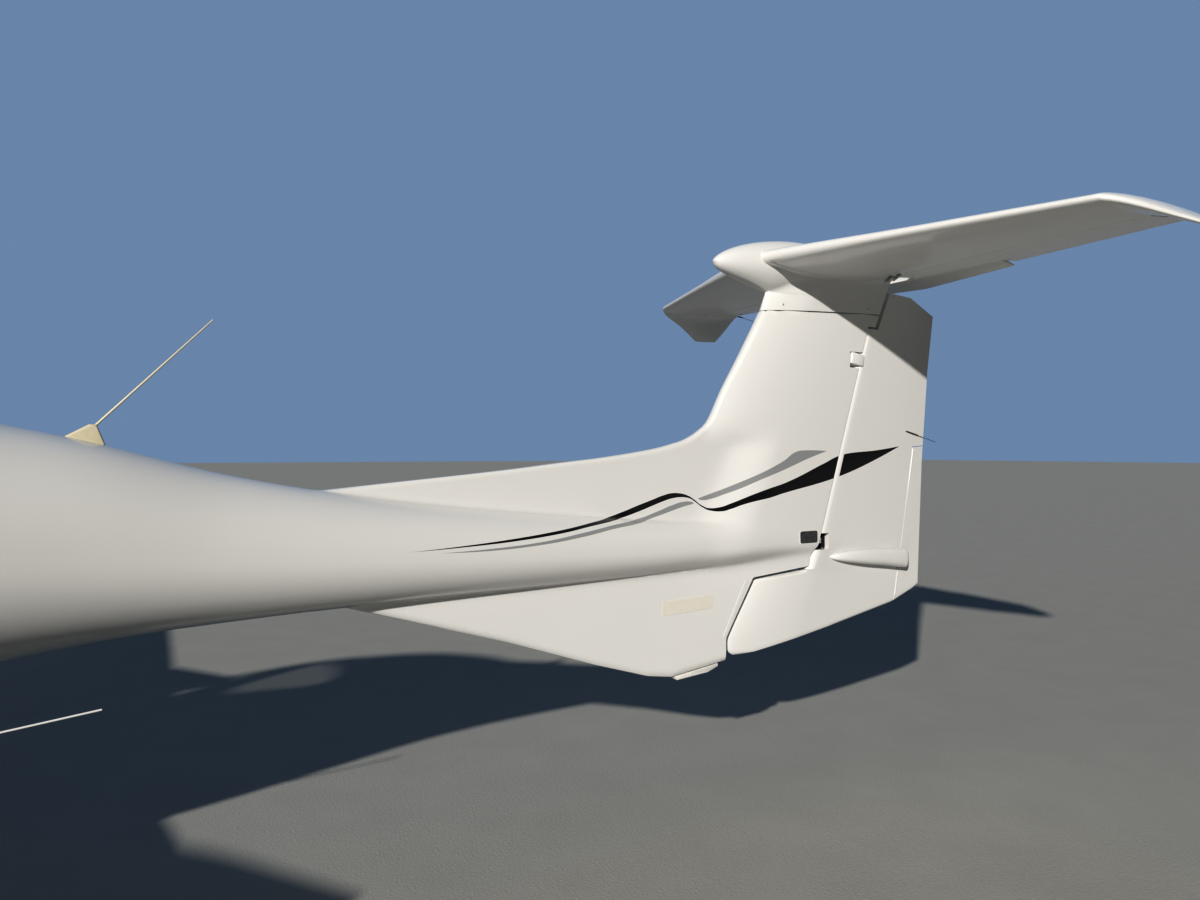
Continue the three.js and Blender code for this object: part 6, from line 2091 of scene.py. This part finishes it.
class AIRCRAFT_OT_gear(bpy.types.Operator):
    """Adds the wheels, the legs, their doors and the brakes"""

    bl_idname = "aircraft.gear"
    bl_label = "Landing gear"

    def execute(self, context):
        self.add_wheel("main", MAIN_WHEEL, 0.19, 0.154, 0.092, (-0.034, -0.012, 0.012, 0.034))
        self.add_wheel("nose", NOSE_WHEEL, 0.178, 0.126, 0.076, (-0.028, -0.0095, 0.0095, 0.028))
        for side in SIDES:
            dressed(f"main_leg_{side}", painted_steel)
            dressed(f"main_arm_{side}", painted_steel, width=0.005)
            dressed(f"main_door_{side}", plain_gelcoat, 0.0025)
            dressed(f"nose_door_{side}", plain_gelcoat, 0.0025)
        dressed("nose_leg", painted_steel)
        dressed("nose_fork", painted_steel, width=0.006)
        self.add_brakes()
        self.add_leg_fittings()
        self.add_nose_fittings()
        return {"FINISHED"}

    def add_wheel(self, name, centre, radius, width, rim, grooves):
        """Adds a tyre and its rim, the outer face of the main ones with a dust cap."""
        tyre = tyre_shape(radius, width, rim, grooves)
        metal = rim_shape(width, rim, 6)
        face = 0.3 * width
        nuts = studs(rounds((0, face + 0.002, 0), 0.33 * rim, 6, "Y", 0.5), (0, 1, 0), 0.0055, 0.006)
        stem = bar((0, 0.15 * width, rim - 0.014), (0, 0.33 * width, rim - 0.02), 0.003, segments=12)
        parts = [metal, nuts, eased(stem, 0.001)]
        if name == "main":
            parts.append(turned([
                (0, face + 0.017), (0.011, face + 0.0155), (0.019, face + 0.01), (0.0225, face + 0.002),
                (0.0225, face - 0.002),
            ], "Y", 40))
            parts.append(turned([
                (0.02, -0.044), (0.031, -0.044), (0.033, -0.057), (0.065, -0.057), (0.066, -0.058),
                (0.066, -0.062), (0.065, -0.063), (0.027, -0.063), (0.02, -0.05), (0.02, -0.044),
            ], "Y", 72))
        moved(tyre, *centre)
        alloy = moved(joined(*parts), *centre)
        if name == "main":
            pair("main_tyre_tread", tyre, tyre_rubber, "main_wheel", "main_tyre")
            pair("main_rim", alloy, polished_alloy, "main_wheel", "main_wheel")
        else:
            finished("nose_tyre_tread", tyre, tyre_rubber, "nose_wheel", ["nose_tyre"])
            finished("nose_rim", alloy, polished_alloy, "nose_wheel", ["nose_wheel"])

    def add_brakes(self):
        """Adds the calipers beside the brake discs, and their hoses."""
        axle_x, y, axle_z = MAIN_WHEEL
        arm_face = LEG.y + 0.02
        body = block(
            (axle_x + 0.028, arm_face, axle_z - 0.034), (axle_x + 0.075, y - 0.069, axle_z + 0.034), 0.005
        )
        bridge = block(
            (axle_x + 0.0715, y - 0.072, axle_z - 0.016), (axle_x + 0.075, y - 0.05, axle_z + 0.016), 0.001
        )
        cylinder = bar(
            (axle_x + 0.05, arm_face, axle_z), (axle_x + 0.05, y - 0.067, axle_z), 0.022, segments=28
        )
        bolts = studs(
            [(axle_x + 0.062, arm_face - 0.002, axle_z + off) for off in (-0.026, 0.026)], (0, 1, 0), 0.006,
            0.06,
        )
        pair("brake_caliper", joined(body, bridge, eased(cylinder, 0.002), bolts), cast_metal)
        hose = tube(bent([
            (LEG.x + 0.045, LEG.y + 0.004, 0.79), (LEG.x + 0.044, LEG.y + 0.012, 0.62),
            (LEG.x + 0.05, LEG.y + 0.03, 0.46), (LEG.x + 0.085, LEG.y + 0.034, 0.37),
            (LEG.x + 0.15, LEG.y + 0.034, 0.275), (axle_x + 0.04, LEG.y + 0.036, 0.235),
            (axle_x + 0.05, LEG.y + 0.04, axle_z + 0.03),
        ]), 0.0048, 10)
        pair("brake_hose", hose, black_plastic)
        clips = []
        for z in (0.5, 0.66):
            low, high = z - 0.008, z + 0.008
            band = [(0.0365, low), (0.0425, low), (0.0425, high), (0.0365, high), (0.0365, low)]
            clips.append(eased(turned(band, "Z", 40, (LEG.x, LEG.y, 0)), 0.001, 1, 60))
        pair("hose_clips", joined(*clips), bare_steel)

    def add_leg_fittings(self):
        """Adds the collars, pivot bolts and axle nuts of the main legs."""
        pivot = Vector((LEG.x + 0.008, LEG.y, 0.362))
        pin = eased(bar(pivot - Vector((0, 0.034, 0)), pivot + Vector((0, 0.034, 0)), 0.013), 0.002)
        heads = studs([pivot + Vector((0, off, 0)) for off in (-0.034, 0.034)], (0, 1, 0), 0.017, 0.008)
        axle = MAIN_WHEEL.copy()
        axle.y = LEG.y - 0.026
        nut = studs([axle], (0, 1, 0), 0.021, 0.012)
        pair("leg_bolts", joined(pin, heads, nut), bare_steel)
        collar = turned([
            (0.034, 0.452), (0.045, 0.452), (0.047, 0.455), (0.047, 0.473), (0.044, 0.478), (0.0375, 0.481),
            (0.034, 0.481), (0.034, 0.452),
        ], "Z", 48, (LEG.x, LEG.y, 0))
        pair("leg_collar", collar, cast_metal)

    def add_nose_fittings(self):
        """Adds the nose leg's collars and lamp, and the nuts of its axle."""
        gland = turned([
            (0.03, 0.476), (0.042, 0.476), (0.044, 0.479), (0.044, 0.5), (0.04, 0.506), (0.034, 0.508),
            (0.03, 0.508), (0.03, 0.476),
        ], "Z", 48, (NOSE_LEG_X, 0, 0))
        clamp = turned([
            (0.03, 0.575), (0.0405, 0.575), (0.0415, 0.577), (0.0415, 0.597), (0.0405, 0.599),
            (0.03, 0.599), (0.03, 0.575),
        ], "Z", 48, (NOSE_LEG_X, 0, 0))
        arm = block((NOSE_LEG_X - 0.062, -0.012, 0.58), (NOSE_LEG_X - 0.03, 0.012, 0.594), 0.002)
        finished("nose_leg_collars", joined(gland, clamp, arm), cast_metal)
        lamp = (NOSE_LEG_X - 0.085, 0, 0.587)
        housing = turned([
            (0, 0.03), (0.02, 0.029), (0.034, 0.02), (0.042, 0.004), (0.0435, -0.014), (0.0455, -0.016),
            (0.0455, -0.022), (0.041, -0.022), (0.04, -0.014), (0.03, 0.004), (0, 0.014),
        ], "X", 48, lamp)
        finished("taxi_lamp_housing", housing, polished_alloy)
        lens = turned([
            (0, -0.021), (0.02, -0.0195), (0.034, -0.0165), (0.0405, -0.0135), (0.0405, -0.011),
            (0, -0.012),
        ], "X", 48, lamp)
        finished("taxi_lamp_lens", lens, clear_acrylic)
        nuts = [(NOSE_WHEEL.x, off, NOSE_WHEEL.z) for off in (-0.096, 0.096)]
        finished("nose_axle_nuts", studs(nuts, (0, 1, 0), 0.02, 0.01), bare_steel, "steering")


SEAT_SHELL = (
    (0.02, 0.7004), (0.33, 0.7004), (0.478, 1.0), (0.636, 1.556), (0.608, 1.568), (0.446, 0.995),
    (0.395, 0.922), (0.0, 0.868), (-0.02, 0.84), (-0.01, 0.79),
)
SEAT_BASE = ((-0.012, 0.905), (0.01, 0.888), (0.378, 0.94), (0.36, 1.004), (0.06, 0.972), (0.0, 0.955))
SEAT_BACK = ((0.392, 1.05), (0.444, 1.035), (0.597, 1.55), (0.562, 1.565))
SEAT_HALF = 0.2125
FRONT_SEAT = NOSE_X + 2.01
REAR_SEAT = NOSE_X + 2.95
SEAT_PLACES = {
    "front_left": (FRONT_SEAT, -0.2775, "seat_front_left"),
    "front_right": (FRONT_SEAT, 0.2775, "seat_front_right"),
    "rear_left": (REAR_SEAT, -0.235, "seat_rear"), "rear_right": (REAR_SEAT, 0.235, "seat_rear"),
}
CHANNELS = (-0.105, 0.105)
CHANNEL_HALF = 0.007
CHANNEL_DEPTH = 0.006
CLOTH_PRESSURE = 4
CLOTH_FRAMES = 20
CUSHION_FILL = 0.022
PANEL_BACK = 0.055
PANEL_HEIGHT = 0.38


def shape_of(piece):
    """The evaluated shape of an object that is being worked on."""
    bm = bmesh.new()
    bm.from_object(piece, bpy.context.evaluated_depsgraph_get())
    return bm


def cushion(outline):
    """A stuffed cushion with two sewn channels, whose filling moves no point further than it may."""
    start = prism(outline, -SEAT_HALF + 0.016, SEAT_HALF - 0.016)
    bevel(start, list(start.edges), 0.014, 3)
    piece = temporary(start)
    remesh = piece.modifiers.new("remesh", "REMESH")
    remesh.mode, remesh.voxel_size = "VOXEL", 0.006
    even = shape_of(piece)
    even.to_mesh(piece.data)
    even.free()
    piece.modifiers.remove(remesh)
    rest = np.array([vert.co for vert in piece.data.vertices])
    cloth = piece.modifiers.new("cloth", "CLOTH")
    cloth.settings.use_pressure = True
    cloth.settings.uniform_pressure_force = CLOTH_PRESSURE
    cloth.settings.effector_weights.gravity = 0
    cloth.point_cache.frame_end = CLOTH_FRAMES
    for number in range(1, CLOTH_FRAMES + 1):
        bpy.context.scene.frame_set(number)
    filled = shape_of(piece)
    filled.verts.ensure_lookup_table()
    for vert, first in zip(filled.verts, rest):
        way = vert.co - Vector(first)
        if way.length > CUSHION_FILL:
            vert.co = Vector(first) + way * (CUSHION_FILL / way.length)
    filled.normal_update()
    for vert in filled.verts:
        dent = sum(exp(-(((vert.co.y - y) / CHANNEL_HALF) ** 2)) for y in CHANNELS)
        vert.co -= vert.normal * CHANNEL_DEPTH * dent
    bpy.data.meshes.remove(piece.data)
    bpy.context.scene.frame_set(1)
    return filled


class AIRCRAFT_OT_cabin(bpy.types.Operator):
    """Adds the seats, the floor, the instrument panel and the controls"""

    bl_idname = "aircraft.cabin"
    bl_label = "Cabin"

    def execute(self, context):
        dressed("cabin_floor", cabin_carpet, 0.004)
        dressed("instrument_panel", black_plastic, 0.006)
        for side in SIDES:
            dressed(f"stick_{side}", black_plastic, 0.003)
        self.add_seats()
        self.add_instruments()
        self.add_controls()
        return {"FINISHED"}

    def add_seats(self):
        """Adds four seats: a moulded shell, a stuffed base and back, and a harness each."""
        shell = eased(prism(SEAT_SHELL, -SEAT_HALF, SEAT_HALF), 0.008, 3)
        base, back = cushion(SEAT_BASE), cushion(SEAT_BACK)
        for name, (x, y, node) in SEAT_PLACES.items():
            finished(f"seat_shell_{name}", moved(shell.copy(), x, y, 0), black_plastic, nodes=[node])
            for part, shape in (("base", base), ("back", back)):
                pad = finished(f"seat_{part}_{name}", moved(shape.copy(), x, y, 0), seat_leather)
            finished(f"harness_{name}", moved(self.harness(), x, y, 0), black_plastic)
            finished(f"buckle_{name}", moved(self.buckle(), x, y, 0), bare_steel)

    def harness(self):
        """Two shoulder straps that hang down the back cushion, and a lap strap."""
        straps = []
        for y in (-0.085, 0.085):
            line = bent([
                (0.62, y * 0.7, 1.565), (0.59, y * 0.75, 1.597), (0.545, y * 0.85, 1.583), (0.49, y, 1.42),
                (0.43, y, 1.23), (0.375, y, 1.075), (0.33, y * 0.75, 1.02), (0.26, y * 0.4, 1.012),
            ])
            straps.append(self.strap(line))
        for sign in (-1, 1):
            line = bent([
                (0.4, sign * 0.208, 0.95), (0.37, sign * 0.205, 1.0), (0.32, sign * 0.13, 1.018),
                (0.255, sign * 0.03, 1.014)
            ])
            straps.append(self.strap(line))
        return joined(*straps)

    def strap(self, line):
        """Flat webbing along a line."""
        points = [Vector(point) for point in line]
        rows = []
        for k, here in enumerate(points):
            way = (points[min(k + 1, len(points) - 1)] - points[max(k - 1, 0)]).normalized()
            across = Vector((0, 1, 0)) - way * way.y
            across = across.normalized() if across.length > 0.35 else Vector((1, 0, 0))
            thick = way.cross(across).normalized() * 0.0012
            side = across * 0.022
            rows.append(
                ring([here - side - thick, here + side - thick, here + side + thick, here - side + thick])
            )
        return skin(rows)

    def buckle(self):
        """The round quick-release buckle where the straps meet."""
        place = Vector((0.248, 0, 1.016))
        profile = [(0, 0.009), (0.02, 0.009), (0.026, 0.006), (0.028, 0), (0.026, -0.004), (0, -0.004)]
        disc = turned(profile, "Z", 40, place)
        grip = block(place + Vector((-0.02, -0.004, 0.008)), place + Vector((0.02, 0.004, 0.014)), 0.002)
        return joined(disc, grip)

    def on_panel(self, shape, y, z):
        """A shape drawn facing +X, set on the sloping face of the panel."""
        shape = rotated(shape, atan2(PANEL_BACK, PANEL_HEIGHT))
        return moved(shape, NOSE_X + 1.69 + (z - 0.8) * PANEL_BACK / PANEL_HEIGHT, y, z)

    def add_instruments(self):
        """Adds two blank screens, three standby dials and a row of switches."""
        bezels, glasses, metal = [], [], []
        for y in (-0.27, 0.0):
            bezels.append(
                self.on_panel(block((-0.004, -0.125, -0.078), (0.012, 0.125, 0.078), 0.005), y, 1.1)
            )
            glasses.append(self.on_panel(block((0.011, -0.1, -0.058), (0.0132, 0.1, 0.062), 0.001), y, 1.1))
            keys = [(0.012, off, -0.068) for off in np.linspace(-0.09, 0.09, 9)]
            metal.append(self.on_panel(studs(keys, (1, 0, 0), 0.004, 0.004, 12), y, 1.1))
            knobs = [(0.012, off, z) for off in (-0.113, 0.113) for z in (-0.045, 0.0, 0.045)]
            metal.append(self.on_panel(studs(knobs, (1, 0, 0), 0.007, 0.02, 20), y, 1.1))
        for y, z in ((0.19, 1.145), (0.27, 1.145), (0.35, 1.145)):
            dial = [
                (0.026, 0.004), (0.028, 0.009), (0.033, 0.009), (0.035, 0.006), (0.035, -0.004),
                (0.026, -0.004), (0.026, 0.004)
            ]
            metal.append(self.on_panel(turned(dial, "X", 40), y, z))
            glass = turned([(0, 0.005), (0.0265, 0.004), (0.0265, 0.0), (0, 0.0)], "X", 40)
            glasses.append(self.on_panel(glass, y, z))
        toggles = [(0.012, off, 0) for off in np.linspace(0.17, 0.38, 8)]
        metal.append(self.on_panel(studs(toggles, (1, 0, 0.4), 0.0035, 0.03, 12), 0, 1.045))
        collars = [(0.001, off, 0) for off in np.linspace(0.17, 0.38, 8)]
        metal.append(self.on_panel(studs(collars, (1, 0, 0), 0.008, 0.005, 6), 0, 1.045))
        finished("screen_bezels", joined(*bezels), black_plastic)
        finished("screens", joined(*glasses), smoked_glass)
        finished("panel_switches", joined(*metal), bare_steel)

    def add_controls(self):
        """Adds the power levers, the rudder pedals and the boots around the sticks."""
        levers = []
        for y in (-0.03, 0.03):
            foot, top = Vector((NOSE_X + 1.655, y, 0.83)), Vector((NOSE_X + 1.73, y, 0.945))
            grip = bar(top - Vector((0, 0.022, 0)), top + Vector((0, 0.022, 0)), 0.013)
            levers += [eased(bar(foot, top, 0.005), 0.001), eased(grip, 0.004, 3)]
        finished("power_levers", joined(*levers), black_plastic)
        pedals = []
        for y in (-0.36, -0.19, 0.19, 0.36):
            pad = block((NOSE_X + 1.535, y - 0.045, 0.8), (NOSE_X + 1.55, y + 0.045, 0.93), 0.006)
            stalk = eased(bar((NOSE_X + 1.54, y, 0.7), (NOSE_X + 1.54, y, 0.82), 0.01), 0.002)
            pedals += [pad, stalk]
        finished("rudder_pedals", joined(*pedals), bare_steel)
        folds = [
            (0.055, 0.7005), (0.05, 0.712), (0.044, 0.716), (0.046, 0.724), (0.038, 0.73), (0.04, 0.738),
            (0.032, 0.745), (0.033, 0.752), (0.026, 0.76), (0.019, 0.775),
        ]
        boot = turned(folds, "Z", 40, (NOSE_X + 1.955, 0.278, 0))
        pair("stick_boot", boot, seat_leather)


class AIRCRAFT_OT_fittings(bpy.types.Operator):
    """Adds the aerials, the tail skid, the tape and the other small pieces of the fuselage"""

    bl_idname = "aircraft.fittings"
    bl_label = "Aerials and small fittings"

    def execute(self, context):
        x = 0.47
        foot = hull_row(x)[0]
        outline = [
            (x - 0.07, foot - 0.02), (x + 0.09, foot - 0.03), (x + 0.062, foot + 0.044),
            (x + 0.04, foot + 0.044)
        ]
        base = eased(prism(outline, -0.011, 0.011), 0.006, 3)
        whip = eased(bar((x + 0.048, 0, foot + 0.03), (x + 0.4, 0, 1.954), 0.004, 0.0025, 14), 0.001)
        finished("aerial_foot_and_rod", joined(base, whip), cream_paint, nodes=["whip_antenna"])
        rod = bent([
            (-0.27, 0, 0.76), (-0.245, 0, 0.7), (-0.212, 0, 0.636), (-0.185, 0, 0.6205), (-0.14, 0, 0.6245),
        ], 5)
        rod += [(0.2775, 0, 0.669), (0.5465, 0, 0.7015)]
        finished("belly_aerial", tube(rod, 0.0035, 12), plain_gelcoat)
        dressed("tail_skid", painted_steel, 0.002)
        tape = side_pad(
            [(2.62, 0.818), (2.879, 0.832), (2.879, 0.891), (2.62, 0.879)], 0.0008, 0.003, 0.003
        )
        finished("beige_tape", mirrored(tape), beige_tape)
        strip = side_pad(
            [(2.936, 0.7), (2.952, 0.698), (3.07, 0.942), (3.053, 0.945)], 0.0012, 0.002, 0.003
        )
        pair("ventral_edge_strip", strip, plain_gelcoat)
        handle = block((NOSE_X + 2.1, 0.0, 1.286), (NOSE_X + 2.2, 0.012, 1.304), 0.004)
        reach = hull_half(NOSE_X + 2.15, 1.295) - 0.004
        pair("canopy_handle", moved(handle, 0, reach, 0), polished_alloy, "canopy")
        handle = block((NOSE_X + 2.9, 0.0, 1.286), (NOSE_X + 3.0, 0.012, 1.304), 0.004)
        reach = hull_half(NOSE_X + 2.95, 1.295) - 0.004
        finished("door_handle", mirrored(moved(handle, 0, reach, 0)), polished_alloy, "cabin_door")
        return {"FINISHED"}


OPERATORS = (
    AIRCRAFT_OT_stage, AIRCRAFT_OT_fuselage, AIRCRAFT_OT_canopy, AIRCRAFT_OT_rudder, AIRCRAFT_OT_stabiliser,
    AIRCRAFT_OT_wings, AIRCRAFT_OT_engines, AIRCRAFT_OT_gear, AIRCRAFT_OT_cabin, AIRCRAFT_OT_fittings,
)


class VIEW3D_PT_aircraft(bpy.types.Panel):
    """Lists the pieces of the aircraft"""

    bl_label = "Aircraft"
    bl_space_type = "VIEW_3D"
    bl_region_type = "UI"
    bl_category = "Aircraft"

    def draw(self, context):
        for operator in OPERATORS:
            self.layout.operator(operator.bl_idname)
        for group in (context.scene.aircraft_sizes, context.scene.aircraft_colours):
            for name in group.__annotations__:
                self.layout.prop(group, name)


CLASSES = (AircraftColours, AircraftSizes, *OPERATORS, VIEW3D_PT_aircraft)


def register():
    """Makes the classes known to Blender."""
    for cls in CLASSES:
        bpy.utils.register_class(cls)
    bpy.types.Scene.aircraft_colours = PointerProperty(type=AircraftColours)
    bpy.types.Scene.aircraft_sizes = PointerProperty(type=AircraftSizes)


def unregister():
    """Takes the classes out of Blender again."""
    del bpy.types.Scene.aircraft_colours
    del bpy.types.Scene.aircraft_sizes
    for cls in reversed(CLASSES):
        bpy.utils.unregister_class(cls)


def main():
    """Builds the whole aircraft."""
    register()
    for operator in OPERATORS:
        group, name = operator.bl_idname.split(".")
        getattr(getattr(bpy.ops, group), name)()
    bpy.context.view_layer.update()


if __name__ == "__main__":
    main()
